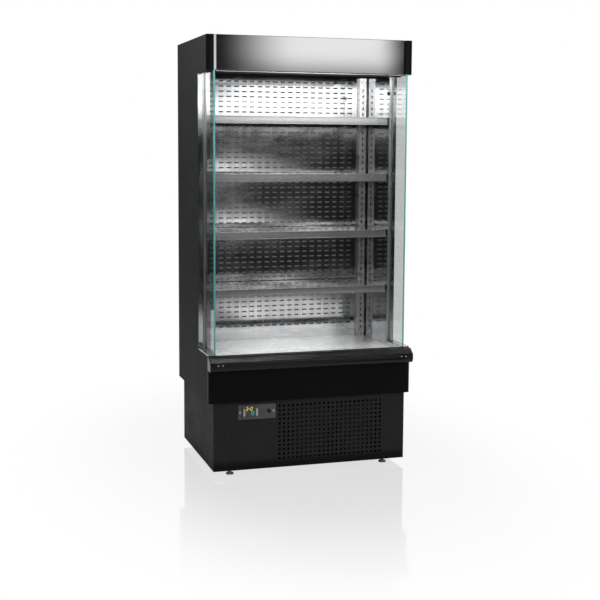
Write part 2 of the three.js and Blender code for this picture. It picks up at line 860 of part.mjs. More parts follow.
// A folded plinth side with a return that closes the front corner.
function plinthSide() {
  const inner = plinthX - plinthSheet;
  const section = outline([
    [plinthX, plinthY],
    [plinthX, backY],
    [inner, backY],
    [inner, plinthY + plinthSheet],
    [plinthX - cornerReturn, plinthY + plinthSheet],
    [plinthX - cornerReturn, plinthY],
  ]);
  return alongZ(section, footHeight, plinthTop);
}

const feet = {
  front_left: [-footSpread, plinthY + footFromFront],
  front_right: [footSpread, plinthY + footFromFront],
  rear_left: [-footSpread, backY - footFromBack],
  rear_right: [footSpread, backY - footFromBack],
};

// The base floor, with a threaded boss over each foot.
function baseFloor() {
  const half = plinthX - plinthSheet - fitGap;
  const frontY = plinthY + plinthSheet + fitGap + serviceFoldBack;
  const top = footHeight + floorSheet;
  let body = block(-half, half, frontY, backY, footHeight, top);
  for (const [x, y] of Object.values(feet)) {
    body = body.add(roundZ(footStem + floorBossWall, x, y, footHeight, top + floorBoss, 16));
    body = cut(body, roundZ(footStem + footStemGap, x, y, footHeight - 1, top + floorBoss + 1, 16));
  }
  return body;
}

function levellingFoot(x, y) {
  return turnedZ([
    [0, 0],
    [footDisc, 0],
    [footDisc, footDiscHeight / 2],
    [footDisc - 4, footDiscHeight],
    [footStem, footDiscHeight],
    [footStem, footStemTop],
    [0, footStemTop],
  ], x, y, 20);
}

const machineFloor = footHeight + floorSheet + fitGap;

// A hermetic compressor: a domed can with a seam flange on a mounting plate.
function compressor() {
  const x = compressorX;
  const y = plinthY + compressorFromFront;
  const z = machineFloor;
  const r = compressorRadius;
  const h = compressorHeight;
  const seam = z + h / 2;
  const halfSeam = compressorSeam / 2;
  const can = turnedZ([
    [0, z + h * 0.11],
    [r * 0.62, z + h * 0.12],
    [r * 0.9, z + h * 0.21],
    [r, z + h * 0.33],
    [r, seam - halfSeam],
    [r + halfSeam, seam - halfSeam],
    [r + halfSeam, seam + halfSeam],
    [r, seam + halfSeam],
    [r * 0.98, z + h * 0.66],
    [r * 0.8, z + h * 0.88],
    [r * 0.42, z + h * 0.98],
    [0, z + h],
  ], x, y, 28);
  const strap = compressorStrap;
  const rail = (y0) => block(x - r, x + r, y0, y0 + strap, z, z + compressorPlate);
  const leg = (y0) => block(x - r / 2, x + r / 2, y0, y0 + strap, z + compressorPlate / 2, z + h * 0.24);
  return joined(can, rail(y - r), rail(y + r - strap), leg(y - r * 0.65), leg(y + r * 0.65 - strap),
    block(x - strap / 2, x + strap / 2, y - r, y + r, z, z + compressorPlate));
}

const condenserY = plinthY + condenserBehindPanel + serviceFoldBack;
const shroudY = condenserY + condenserDepth + shroudGap;
const condFanZ = machineFloor + condenserHeight / 2;

function condenserCoil() {
  return finBlock(condenserMiddle - condenserWidth / 2, condenserMiddle + condenserWidth / 2,
    condenserY, condenserY + condenserDepth, machineFloor, machineFloor + condenserHeight, condenserFins);
}

// A plate with a fan opening and side flanges that reach the coil.
function fanShroud() {
  const x0 = condenserMiddle - condenserWidth / 2;
  const x1 = condenserMiddle + condenserWidth / 2;
  const top = machineFloor + condenserHeight;
  const plate = block(x0, x1, shroudY, shroudY + shroudSheet, machineFloor, top);
  const flange = (x) => block(x, x + shroudSheet, condenserY + condenserDepth + fitGap,
    shroudY + 1, machineFloor, top);
  const opening = roundY(condFanRadius + fanTipGap, condenserMiddle, condFanZ,
    shroudY - 1, shroudY + shroudSheet + 1, 32);
  return cut(joined(plate, flange(x0), flange(x1 - shroudSheet)), opening);
}

// The electrical box that stands behind the control plate.
function electricalBox() {
  const x0 = plateLeft + plateWidth / 2 - boxWidth / 2;
  const x1 = x0 + boxWidth;
  const y0 = plinthY + controllerBody + boxBehindController;
  const top = machineFloor + boxHeight;
  const rim = boxLidRim;
  const lid = block(x0 + rim, x1 - rim, y0 - rim / 2, y0 + 1, machineFloor + rim, top - rim);
  return joined(block(x0, x1, y0, y0 + boxDepth, machineFloor, top), lid);
}

// The condensate tray that catches the drain and slides out at the back.
function condensateTray() {
  const x0 = trayMiddle - trayWidth / 2;
  const x1 = trayMiddle + trayWidth / 2;
  const y1 = backY - slideGap;
  const y0 = y1 - trayDepth;
  const z0 = machineFloor + trayBaseRise;
  const wall = trayWall;
  const pan = cut(block(x0, x1, y0, y1, z0, z0 + trayHeight),
    block(x0 + wall, x1 - wall, y0 + wall, y1 - wall, z0 + wall, z0 + trayHeight + 1));
  const runner = (x) => block(x, x + trayRunner, y0, y1, machineFloor, z0 + 1);
  return joined(pan, runner(x0 + 2 * trayRunner), runner(x1 - 3 * trayRunner));
}

add('plinth_side_right', plinthSide(), 'plinthPaint');
add('plinth_side_left', mirrored(plinthSide()), 'plinthPaint');
add('base_floor', baseFloor(), 'zincSteel');
for (const [place, [x, y]] of Object.entries(feet)) {
  add(`foot_${place}`, levellingFoot(x, y), 'zincSteel');
}
add('compressor', compressor(), 'compressorBlack');
add('condenser_coil', condenserCoil(), 'fins');
add('condenser_fan_shroud', fanShroud(), 'zincSteel');
const shroudBack = shroudY + shroudSheet;
add('condenser_fan_motor',
  fanMotor(condenserMiddle, condFanZ, shroudBack, condFanRadius, condMotorRadius), 'blackPlastic');
add('condenser_fan_blade',
  fanBlade(condenserMiddle, condFanZ, shroudBack, condFanRadius, condMotorRadius, 5), 'greyPlastic');
add('electrical_box', electricalBox(), 'greyPlastic');
add('condensate_tray', condensateTray(), 'blackPlastic');

// ---------------------------------------------------------------------------
// Service panel and controls
// ---------------------------------------------------------------------------

const controllerX0 = plateLeft + controllerFromPlateEnd;
const controllerX1 = controllerX0 + controllerWidth;
const plateMiddleZ = plateBottom + plateHeight / 2;
const plateFaceY = plinthY - fitGap - plateSheet;
const switchX = plateLeft + plateWidth - switchFromPlateEnd;

function controllerHole(y0, y1) {
  const edge = controllerWall - fitGap;
  return block(controllerX0 + edge, controllerX1 - edge, y0, y1,
    plateMiddleZ - controllerHeight / 2 + edge, plateMiddleZ + controllerHeight / 2 - edge);
}

function switchHole(y0, y1) {
  return roundY(switchRadius + switchGap, switchX, plateMiddleZ, y0, y1, 24);
}

// The lift-off front of the plinth: perforated over the condenser, folded back
// along its lower edge, and cut out for the controls.
function servicePanel() {
  const sheet = block(-serviceHalfWidth, serviceHalfWidth, plinthY, plinthY + serviceSheet,
    footHeight, plinthTop);
  const fold = block(-serviceHalfWidth, serviceHalfWidth, plinthY + serviceSheet / 2,
    plinthY + serviceFoldBack, footHeight, footHeight + serviceSheet);
  const tools = [
    controllerHole(plinthY - 1, plinthY + serviceSheet + 1),
    switchHole(plinthY - 1, plinthY + serviceSheet + 1),
  ];
  const columns = Math.floor((grilleRight - grilleLeft) / grillePitch);
  const rows = Math.floor((grilleTop - grilleBottom) / grillePitch);
  for (let column = 0; column < columns; column += 1) {
    for (let row = 0; row < rows; row += 1) {
      const x = grilleLeft + (column + 0.5) * grillePitch;
      const z = grilleBottom + (row + 0.5) * grillePitch;
      tools.push(block(x - grilleHole / 2, x + grilleHole / 2, plinthY - 1, plinthY + serviceSheet + 1,
        z - grilleHole / 2, z + grilleHole / 2));
    }
  }
  return cut(joined(sheet, fold), ...tools);
}

// The control plate with a raised ring round the lamp switch.
function controlPlate() {
  const back = plinthY - fitGap;
  const plate = block(plateLeft, plateLeft + plateWidth, plateFaceY, back,
    plateBottom, plateBottom + plateHeight);
  const ring = roundY(switchRadius + switchGap + switchRing, switchX, plateMiddleZ,
    plateFaceY - switchRingProud, back, 24);
  return cut(joined(plate, ring), controllerHole(plateFaceY - 1, back + 1),
    switchHole(plateFaceY - switchRingProud - 1, back + 1));
}

const bezelFaceY = plateFaceY - fitGap - controllerBezel;

function buttonBox(side, clearance, y0, y1) {
  const x0 = side === 'left' ? controllerX0 + buttonSide : controllerX1 - buttonSide - buttonWidth;
  return block(x0 - clearance, x0 + buttonWidth + clearance, y0, y1,
    plateMiddleZ - buttonHeight / 2 - clearance, plateMiddleZ + buttonHeight / 2 + clearance);
}

// The electronic controller: a bezel with button pockets, and a body behind.
function temperatureController() {
  const z0 = plateMiddleZ - controllerHeight / 2;
  const z1 = plateMiddleZ + controllerHeight / 2;
  const bezelBack = bezelFaceY + controllerBezel;
  const bezel = block(controllerX0, controllerX1, bezelFaceY, bezelBack, z0, z1);
  const edge = controllerWall;
  const body = block(controllerX0 + edge, controllerX1 - edge, bezelBack - 1, bezelBack + controllerBody,
    z0 + edge, z1 - edge);
  const pocketBack = bezelFaceY - buttonProud + buttonDepth + buttonTravel + fitGap;
  return cut(joined(bezel, body),
    buttonBox('left', fitGap, bezelFaceY - 1, pocketBack),
    buttonBox('right', fitGap, bezelFaceY - 1, pocketBack));
}

function controllerButton(side) {
  return buttonBox(side, 0, bezelFaceY - buttonProud, bezelFaceY - buttonProud + buttonDepth);
}

// A round rocker: a barrel that turns in its hole, with a ridge across it.
function lampSwitch() {
  const half = switchDepth / 2;
  const r = switchRadius;
  const rim = Math.sqrt(r * r - half * half * 0.6);
  const barrel = turnedZ([[0, -half], [rim, -half], [r, 0], [rim, half], [0, half]], 0, 0, 24);
  const tilt = barrel.rotate([90 + switchTilt, 0, 0]);
  return tilt.translate([switchX, plateFaceY - switchRingProud + half / 2, plateMiddleZ]);
}

add('service_panel', servicePanel(), 'plinthPaint');
add('control_plate', controlPlate(), 'greyPlastic');
add('temperature_controller', temperatureController(), 'greyPlastic');
add('controller_button_left', controllerButton('left'), 'greyPlastic');
add('controller_button_right', controllerButton('right'), 'greyPlastic');
add('lamp_switch', lampSwitch(), 'blackPlastic');

export default root;
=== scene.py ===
# %% [markdown]
# # An open display fridge, dressed for its portrait
# The measured solid model gives every size and every joint. This script keeps
# those sizes and gives each sheet, pane, rail and knob the edges, patterns and
# finish that the real cabinet has, then lights it in a plain white studio.

# %% Load the measured frame
import math

import bmesh
import bpy
from mathutils import Matrix, Vector


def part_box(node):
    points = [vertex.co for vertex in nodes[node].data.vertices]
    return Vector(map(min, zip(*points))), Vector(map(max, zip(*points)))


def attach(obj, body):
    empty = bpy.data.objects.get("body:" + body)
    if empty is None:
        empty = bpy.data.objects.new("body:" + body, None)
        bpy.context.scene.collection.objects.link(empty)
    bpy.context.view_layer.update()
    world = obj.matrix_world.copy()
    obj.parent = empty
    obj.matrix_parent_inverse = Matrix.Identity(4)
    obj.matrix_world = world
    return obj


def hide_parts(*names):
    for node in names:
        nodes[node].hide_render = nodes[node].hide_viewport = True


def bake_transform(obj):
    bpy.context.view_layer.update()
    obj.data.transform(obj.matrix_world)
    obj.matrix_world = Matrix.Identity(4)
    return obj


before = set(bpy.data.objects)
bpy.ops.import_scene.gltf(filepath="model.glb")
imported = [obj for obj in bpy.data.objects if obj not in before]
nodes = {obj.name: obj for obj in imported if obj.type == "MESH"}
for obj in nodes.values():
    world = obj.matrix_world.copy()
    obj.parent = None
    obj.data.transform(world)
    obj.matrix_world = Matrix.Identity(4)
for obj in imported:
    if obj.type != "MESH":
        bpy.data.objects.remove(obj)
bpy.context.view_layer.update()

# %% [markdown]
# ## The camera
# The cabinet is seen from the left and from about eye height, through a lens a
# little longer than normal. A camera could be aimed by eye; here the lens, the
# place and the three turns were fitted to the measured corners of the cabinet, so
# they are numbers. The shift slides the picture on the sensor, which centres the
# cabinet without tilting the camera and its verticals.

# %% Place the camera
LENS_MM, FRAME_SHIFT = 69.5446, -0.05
CAMERA_PLACE = Vector((-1.65999, -5.45825, 1.55170))
YAW, PITCH, ROLL = (math.radians(a) for a in (17.28213, 6.21478, 0.34587))

forward = Vector((math.sin(YAW) * math.cos(PITCH), math.cos(YAW) * math.cos(PITCH), -math.sin(PITCH)))
level_right = Vector((math.cos(YAW), -math.sin(YAW), 0))
level_up = level_right.cross(forward)
right = math.cos(ROLL) * level_right + math.sin(ROLL) * level_up
up = math.cos(ROLL) * level_up - math.sin(ROLL) * level_right

bpy.ops.object.camera_add()
camera = bpy.context.object
camera.name = "portrait_camera"
camera.data.sensor_width = 36
camera.data.lens = LENS_MM
camera.data.shift_y = FRAME_SHIFT
camera.data.clip_end = 200
turn = Matrix((right, up, -forward)).transposed().to_4x4()
camera.matrix_world = Matrix.Translation(CAMERA_PLACE) @ turn
bpy.context.scene.camera = camera
bpy.context.scene.view_settings.view_transform = "Standard"
print("camera looks along", tuple(round(v, 3) for v in forward))

# %% [markdown]
# ## Hands: how the pieces are made
# A few small helpers stand for what hands do at the screen: pick one object,
# enter edit mode, select faces or edges by where they are, push them out, cut
# across the mesh, and apply a modifier. Each selection names a place or a
# direction, so it finds the same faces again when a size changes.

# %% Selecting and shaping
def only(piece):
    """Makes piece the one selected and active object."""
    bpy.ops.object.select_all(action="DESELECT")
    piece.select_set(True)
    bpy.context.view_layer.objects.active = piece


def edit(piece):
    only(piece)
    bpy.ops.object.mode_set(mode="EDIT")
    bpy.ops.mesh.select_all(action="SELECT")


def leave():
    bpy.ops.object.mode_set(mode="OBJECT")


def pick(piece, kind, test):
    """In edit mode, selects the vertices, edges or faces that pass a test."""
    bpy.ops.mesh.select_mode(type=kind)
    bpy.ops.mesh.select_all(action="DESELECT")
    shape = bmesh.from_edit_mesh(piece.data)
    items = {"VERT": shape.verts, "EDGE": shape.edges, "FACE": shape.faces}[kind]
    chosen = [item for item in items if test(item)]
    for item in chosen:
        item.select_set(True)
    shape.select_flush_mode()
    bmesh.update_edit_mesh(piece.data)
    return len(chosen)


def push(value):
    """Pulls the selected faces or edges out by a vector, with new faces behind them."""
    bpy.ops.mesh.extrude_region_move(TRANSFORM_OT_translate={"value": value})


def cut_across(place, direction):
    """Cuts the whole mesh along a plane, leaving both sides in place."""
    bpy.ops.mesh.select_all(action="SELECT")
    bpy.ops.mesh.bisect(plane_co=place, plane_no=direction)


# %% Modifiers, rounds and shading
def modify(piece, kind, **settings):
    """Adds one modifier, sets it and applies it."""
    only(piece)
    bpy.ops.object.modifier_add(type=kind)
    modifier = piece.modifiers[-1]
    for key, value in settings.items():
        setattr(modifier, key, value)
    bpy.ops.object.modifier_apply(modifier=modifier.name)


def span(edge):
    """How far an edge reaches along each axis, and where its middle is."""
    a, b = (vertex.co for vertex in edge.verts)
    return Vector([abs(b[i] - a[i]) for i in range(3)]), (a + b) / 2


def ease_edges(piece, width, segments=2, angle=35):
    """Rounds every edge sharper than angle, as a real folded or moulded edge is."""
    modify(piece, "BEVEL", width=width, segments=segments, limit_method="ANGLE",
           angle_limit=math.radians(angle), harden_normals=False)


def settle_shading(piece, angle=40):
    """Smooth over the rounds, flat on the flats."""
    only(piece)
    bpy.ops.object.shade_smooth_by_angle(angle=math.radians(angle))
    modify(piece, "WEIGHTED_NORMAL", keep_sharp=True)


# %% [markdown]
# Most pieces start from their measured solid. The solid's edges are razor sharp,
# so a copy is merged into whole faces and its edges are eased. New pieces start
# from a block or from the outline of a section, pulled out along the cabinet.

# %% A copy of a measured solid
TOUCHING, FLAT_DEGREES = 0.00001, 0.5


def copy_of(node, name):
    """A new object with the solid's merged mesh, its flat faces made whole."""
    piece = bpy.data.objects.new(name, nodes[node].data.copy())
    bpy.context.scene.collection.objects.link(piece)
    piece.data.materials.clear()
    only(piece)
    bpy.ops.mesh.customdata_custom_splitnormals_clear()
    edit(piece)
    bpy.ops.mesh.remove_doubles(threshold=TOUCHING)
    bpy.ops.mesh.dissolve_limited(angle_limit=math.radians(FLAT_DEGREES))
    leave()
    return piece


# %% A block, and a section pulled out
def block(name, low, high):
    """A block between two corners, in metres."""
    low, high = Vector(low), Vector(high)
    bpy.ops.mesh.primitive_cube_add(size=1, location=(low + high) / 2)
    piece = bpy.context.object
    piece.name = name
    piece.scale = high - low
    only(piece)
    bpy.ops.object.transform_apply(location=True, rotation=True, scale=True)
    return piece


def pulled(name, outline, axis, low, high):
    """A section given as (a, b) points, pulled out along axis from low to high.
    Along X the points are (y, z), along Y they are (x, z), along Z (x, y)."""
    bpy.ops.mesh.primitive_circle_add(vertices=len(outline), radius=0.1, fill_type="NGON")
    piece = bpy.context.object
    piece.name = name
    order = {"X": (2, 0, 1), "Y": (0, 2, 1), "Z": (0, 1, 2)}[axis]
    for vertex, (a, b) in zip(piece.data.vertices, outline):
        values = (a, b, low)
        vertex.co = Vector([values[i] for i in order])
    edit(piece)
    along = Vector([(0, 0, high - low)[i] for i in order])
    bpy.ops.mesh.extrude_region_move(TRANSFORM_OT_translate={"value": along})
    bpy.ops.mesh.select_all(action="SELECT")
    bpy.ops.mesh.normals_make_consistent(inside=False)
    leave()
    return piece


def arc(centre, radius, start, end, steps):
    """Points of an arc in a section, angles in degrees."""
    a0, a1 = math.radians(start), math.radians(end)
    turns = [a0 + (a1 - a0) * i / steps for i in range(steps + 1)]
    return [(centre[0] + radius * math.cos(t), centre[1] + radius * math.sin(t)) for t in turns]


def round_bar(name, axis, centre, radius, low, high, sides=32):
    """A round bar along axis from low to high; centre is its place across the axis."""
    ring = arc(centre, radius, 0, 360 - 360 / sides, sides - 1)
    return pulled(name, ring, axis, low, high)


# %% Joining and cutting
def joined(first, *others):
    """Several shapes made one mesh."""
    only(first)
    for other in others:
        other.select_set(True)
    bpy.ops.object.join()
    return bpy.context.object


def cut_away(piece, cutter):
    """Cuts a closed shape out of a piece, then removes the cutter."""
    modify(piece, "BOOLEAN", operation="DIFFERENCE", solver="EXACT", object=cutter)
    bpy.data.objects.remove(cutter, do_unlink=True)


# %% Keeping a finished piece
made = {}


def keep(piece, body, finishes, stands_for=()):
    """Gives a finished piece its body, its finish and what it stands for.
    A piece that rides on no single body has None for its body."""
    piece.data.materials.clear()
    for material in finishes if isinstance(finishes, list) else [finishes]:
        piece.data.materials.append(material)
    if body:
        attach(piece, body)
    if stands_for:
        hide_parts(*stands_for)
    made[piece.name] = len(piece.data.polygons)
    return piece


def refinish(piece, index, test):
    """Gives the faces that pass a test another of the piece's finishes."""
    for face in piece.data.polygons:
        if test(face):
            face.material_index = index


# %% [markdown]
# ## Finishes
# Five effects come back on many surfaces, so each is one node group: the grain of
# paint and plastic, the lines of brushed or rolled metal, pale wear where an edge
# is rubbed, dust that settles on what faces up, and the soft smears that change
# how glossy a wiped surface is.

# %% Small tools for nodes
def add_node(tree, kind, **settings):
    new = tree.nodes.new(kind)
    for key, value in settings.items():
        setattr(new, key, value)
    return new


def math_node(tree, operation, a, b):
    new = add_node(tree, "ShaderNodeMath", operation=operation)
    for socket, value in zip(new.inputs, (a, b)):
        if isinstance(value, (int, float)):
            socket.default_value = value
        else:
            tree.links.new(value, socket)
    return new.outputs[0]


# %% Groups, noise and masks
def new_group(name, inputs, outputs):
    """A node group with named sockets; inputs are (name, kind, default)."""
    group = bpy.data.node_groups.new(name, "ShaderNodeTree")
    for label, kind, default in inputs:
        socket = group.interface.new_socket(label, in_out="INPUT", socket_type="NodeSocket" + kind)
        if default is not None:
            socket.default_value = default
    for label in outputs:
        group.interface.new_socket(label, in_out="OUTPUT", socket_type="NodeSocketFloat")
    start = group.nodes.new("NodeGroupInput")
    end = group.nodes.new("NodeGroupOutput")
    return group, start.outputs, end.inputs


VECTOR = ("Vector", "Vector", None)


def noise(tree, vector, scale, detail=2.0, roughness=0.5):
    new = add_node(tree, "ShaderNodeTexNoise")
    new.inputs["Detail"].default_value = detail
    new.inputs["Roughness"].default_value = roughness
    tree.links.new(vector, new.inputs["Vector"])
    if isinstance(scale, (int, float)):
        new.inputs["Scale"].default_value = scale
    else:
        tree.links.new(scale, new.inputs["Scale"])
    return new.outputs["Fac"]


def spread(tree, value, low, high, to_low=0.0, to_high=1.0):
    """Maps low..high to to_low..to_high, smoothly and without leaving that range."""
    new = add_node(tree, "ShaderNodeMapRange", interpolation_type="SMOOTHSTEP", clamp=True)
    tree.links.new(value, new.inputs["Value"])
    for key, number in zip(("From Min", "From Max", "To Min", "To Max"), (low, high, to_low, to_high)):
        new.inputs[key].default_value = number
    return new.outputs["Result"]


# %% The five shared effects
def make_grain():
    """Bumps as fine as paint's, and a tint that mixes them with broad clouds."""
    grains = ("Grains per metre", "Float", 900.0)
    group, start, end = new_group("fine_grain", [VECTOR, grains], ["Height", "Tint"])
    scale = start["Grains per metre"]
    fine = noise(group, start["Vector"], scale, 3.0, 0.6)
    coarse = noise(group, start["Vector"], math_node(group, "MULTIPLY", scale, 0.012), 2.0)
    group.links.new(fine, end["Height"])
    fine_share = math_node(group, "MULTIPLY", fine, 0.45)
    coarse_share = math_node(group, "MULTIPLY", coarse, 0.55)
    mixed = math_node(group, "ADD", fine_share, coarse_share)
    group.links.new(spread(group, mixed, 0.32, 0.68), end["Tint"])
    return group


def make_lines():
    """Noise drawn out along the sheet: fine lines, and broad streaks of tone."""
    group, start, end = new_group("rolled_lines", [VECTOR, ("Stretch", "Vector", None)], ["Height", "Streak"])
    stretched = add_node(group, "ShaderNodeVectorMath", operation="MULTIPLY")
    group.links.new(start["Vector"], stretched.inputs[0])
    group.links.new(start["Stretch"], stretched.inputs[1])
    fine = noise(group, stretched.outputs[0], 1.0, 4.0, 0.65)
    broad = noise(group, stretched.outputs[0], 0.11, 2.0)
    group.links.new(fine, end["Height"])
    group.links.new(spread(group, broad, 0.3, 0.7), end["Streak"])
    return group


def make_wear():
    """A mask of the edges, where the eased normal leaves the true one, in patches."""
    group, start, end = new_group("rubbed_edges", [VECTOR, ("Width", "Float", 0.002)], ["Mask"])
    eased = add_node(group, "ShaderNodeBevel", samples=4)
    group.links.new(start["Width"], eased.inputs["Radius"])
    true_normal = add_node(group, "ShaderNodeNewGeometry")
    facing = add_node(group, "ShaderNodeVectorMath", operation="DOT_PRODUCT")
    group.links.new(eased.outputs["Normal"], facing.inputs[0])
    group.links.new(true_normal.outputs["Normal"], facing.inputs[1])
    edge = spread(group, facing.outputs["Value"], 0.999, 0.94, 0.0, 1.0)
    patches = spread(group, noise(group, start["Vector"], 38.0, 3.0, 0.6), 0.42, 0.66)
    group.links.new(math_node(group, "MULTIPLY", edge, patches), end["Mask"])
    return group


def make_dust():
    """A cloudy mask of what faces up."""
    group, start, end = new_group("settled_dust", [VECTOR], ["Mask"])
    geometry = add_node(group, "ShaderNodeNewGeometry")
    parts = add_node(group, "ShaderNodeSeparateXYZ")
    group.links.new(geometry.outputs["Normal"], parts.inputs[0])
    upward = spread(group, parts.outputs["Z"], 0.55, 0.98)
    cloud = spread(group, noise(group, start["Vector"], 14.0, 4.0, 0.6), 0.3, 0.75)
    group.links.new(math_node(group, "MULTIPLY", upward, cloud), end["Mask"])
    return group


def make_smears():
    """Soft smears, longer across than up, as a cloth leaves them."""
    group, start, end = new_group("wiped_smears", [VECTOR], ["Mask"])
    stretched = add_node(group, "ShaderNodeVectorMath", operation="MULTIPLY")
    stretched.inputs[1].default_value = (5.0, 5.0, 11.0)
    group.links.new(start["Vector"], stretched.inputs[0])
    smears = noise(group, stretched.outputs[0], 1.0, 3.0, 0.55)
    group.links.new(spread(group, smears, 0.3, 0.72), end["Mask"])
    return group


GRAIN, LINES, WEAR, DUST, SMEARS = make_grain(), make_lines(), make_wear(), make_dust(), make_smears()
print("shared effects:", sorted(g.name for g in bpy.data.node_groups))


# %% [markdown]
# One function builds an ordinary finish from those effects. What is the same all
# over stays a plain number on the shader; only what changes over the surface is
# wired in: two tones of colour, the spread of roughness and the bump.

# %% Placing an effect and mixing two tones
def use(tree, group, vector, **values):
    new = add_node(tree, "ShaderNodeGroup")
    new.node_tree = group
    tree.links.new(vector, new.inputs["Vector"])
    for key, value in values.items():
        new.inputs[key.replace("_", " ")].default_value = value
    return new.outputs


def tone(tree, factor, first, second):
    new = add_node(tree, "ShaderNodeMix", data_type="RGBA")
    for socket, value in ((new.inputs[6], first), (new.inputs[7], second)):
        if isinstance(value, tuple):
            socket.default_value = (*value, 1.0)
        else:
            tree.links.new(value, socket)
    tree.links.new(factor, new.inputs[0])
    return new.outputs[2]


# %% The finish builder
# Heights in metres over which the painted shade above the floor fades out.
FLOOR_SHADE_LOW, FLOOR_SHADE_HIGH = 0.045, 0.085
DUST_SHARE, WEAR_SHARE = 0.35, 0.6
SMEAR_SHARE, TONE_SHARE = 0.7, 0.3
WAVES_PER_METRE = 3.1


def finish(name, light, dark, rough, metal=0.0, grain=900.0, depth=0.0001, stretch=None,
           wear=None, dust=None, wave=0.0, floor_shade=None, **plain):
    """light and dark are the two tones, rough the lowest and highest roughness,
    stretch the rolled lines, wear and dust the colours of rubbed edges and dust,
    and wave the height in metres of the slow unevenness of thin sheet. The darker
    colour given for a plinth is painted shade: it takes over just above the floor."""
    material = bpy.data.materials.new(name)
    material.use_nodes = True
    tree = material.node_tree
    shader = tree.nodes["Principled BSDF"]
    where = add_node(tree, "ShaderNodeTexCoord").outputs["Object"]
    grained = use(tree, GRAIN, where, Grains_per_metre=grain)
    height, mask = grained["Height"], grained["Tint"]
    if stretch:
        lined = use(tree, LINES, where, Stretch=stretch)
        height, mask = lined["Height"], lined["Streak"]
    colour = tone(tree, mask, light, dark)
    # Painted shade: the colour turns darker just above the floor, where a plinth stands in shadow.
    if floor_shade:
        place = add_node(tree, "ShaderNodeSeparateXYZ")
        tree.links.new(where, place.inputs[0])
        colour = tone(tree, spread(tree, place.outputs["Z"], FLOOR_SHADE_LOW, FLOOR_SHADE_HIGH), floor_shade, colour)
    if dust:
        share = math_node(tree, "MULTIPLY", use(tree, DUST, where)["Mask"], DUST_SHARE)
        colour = tone(tree, share, colour, dust)
    if wear:
        share = math_node(tree, "MULTIPLY", use(tree, WEAR, where)["Mask"], WEAR_SHARE)
        colour = tone(tree, share, colour, wear)
    tree.links.new(colour, shader.inputs["Base Color"])
    smear = math_node(tree, "MULTIPLY", use(tree, SMEARS, where)["Mask"], SMEAR_SHARE)
    rub = math_node(tree, "ADD", smear, math_node(tree, "MULTIPLY", mask, TONE_SHARE))
    tree.links.new(spread(tree, rub, 0.0, 1.0, rough[0], rough[1]), shader.inputs["Roughness"])
    bump = add_node(tree, "ShaderNodeBump")
    bump.inputs["Distance"].default_value = depth
    tree.links.new(height, bump.inputs["Height"])
    if wave:
        slow = add_node(tree, "ShaderNodeBump")
        slow.inputs["Distance"].default_value = wave
        tree.links.new(noise(tree, where, WAVES_PER_METRE, 1.5), slow.inputs["Height"])
        tree.links.new(slow.outputs["Normal"], bump.inputs["Normal"])
    tree.links.new(bump.outputs["Normal"], shader.inputs["Normal"])
    shader.inputs["Metallic"].default_value = metal
    for key, value in plain.items():
        shader.inputs[key.replace("_", " ")].default_value = value
    return material


# %% [markdown]
# ### Paints and plastics
# The outside is thin steel with a fine black-grey powder coat. The canopy is gloss
# black and shows the studio as a dark mirror does; the front panel is the same
# black, but satin. The bumper and the small fittings are moulded plastic. One
# plain black for all would look like a hole in the picture, so each paint has two
# close tones, a grain and a spread of gloss, and they differ in those.

# %% Mix the paints
powder_coat = finish(
    "powder_coat", (0.0180, 0.0183, 0.0186), (0.0190, 0.0193, 0.0196), (0.52, 0.56),
    depth=0.00012, wear=(0.08, 0.08, 0.08), dust=(0.12, 0.118, 0.115), Specular_IOR_Level=0.04)
panel_black = finish(
    "panel_black", (0.0028, 0.0030, 0.0031), (0.0036, 0.0038, 0.0039), (0.26, 0.34),
    grain=300.0, depth=0.00002, wear=(0.03, 0.03, 0.03), wave=0.0004, Specular_IOR_Level=0.08)
canopy_black = finish(
    "canopy_black", (0.003, 0.003, 0.0032), (0.004, 0.004, 0.0042), (0.05, 0.09),
    grain=300.0, depth=0.000005, wave=0.0001, Specular_IOR_Level=1.0,
    Coat_Weight=1.0, Coat_Roughness=0.04, Coat_IOR=1.8)
# The plinth's darker tone just above the floor is painted shade.
plinth_paint = finish(
    "plinth_paint", (0.0186, 0.0188, 0.0190), (0.0208, 0.0210, 0.0212), (0.46, 0.55),
    floor_shade=(0.0072, 0.0072, 0.0073), depth=0.0001, wear=(0.06, 0.06, 0.06), dust=(0.1, 0.098, 0.095),
    Specular_IOR_Level=0.04)
ceiling_black = finish(
    "ceiling_black", (0.004, 0.004, 0.0042), (0.006, 0.006, 0.0062), (0.8, 0.9),
    grain=700.0, depth=0.00006, Specular_IOR_Level=0.02)
duct_white = finish(
    "duct_white", (0.26, 0.263, 0.266), (0.22, 0.223, 0.226), (0.35, 0.45), grain=300.0, depth=0.00004)
can_black = finish(
    "can_black", (0.012, 0.012, 0.013), (0.02, 0.02, 0.021), (0.2, 0.35),
    grain=220.0, depth=0.0003, wear=(0.12, 0.10, 0.09), dust=(0.12, 0.115, 0.11),
    Coat_Weight=0.5, Coat_Roughness=0.15)
print(len(bpy.data.materials), "finishes so far")

# %% Mix the plastics
moulded_black = finish(
    "moulded_black", (0.0055, 0.0056, 0.0058), (0.0075, 0.0077, 0.0079), (0.26, 0.36),
    grain=1400.0, depth=0.00006, wear=(0.03, 0.03, 0.03), Specular_IOR_Level=0.2)
bumper_black = finish(
    "bumper_black", (0.0028, 0.0029, 0.0030), (0.0040, 0.0041, 0.0043), (0.14, 0.22),
    grain=1400.0, depth=0.00003, wear=(0.03, 0.03, 0.03), Specular_IOR_Level=0.35)
plate_grey = finish(
    "plate_grey", (0.056, 0.056, 0.058), (0.070, 0.070, 0.073), (0.38, 0.5),
    grain=1400.0, depth=0.00006, wear=(0.14, 0.14, 0.14))
moulded_grey = finish(
    "moulded_grey", (0.10, 0.10, 0.105), (0.13, 0.13, 0.135), (0.38, 0.5),
    grain=1400.0, depth=0.00006, wear=(0.22, 0.22, 0.22))
button_grey = finish(
    "button_grey", (0.30, 0.30, 0.31), (0.36, 0.36, 0.37), (0.4, 0.5), grain=1600.0, depth=0.00004)
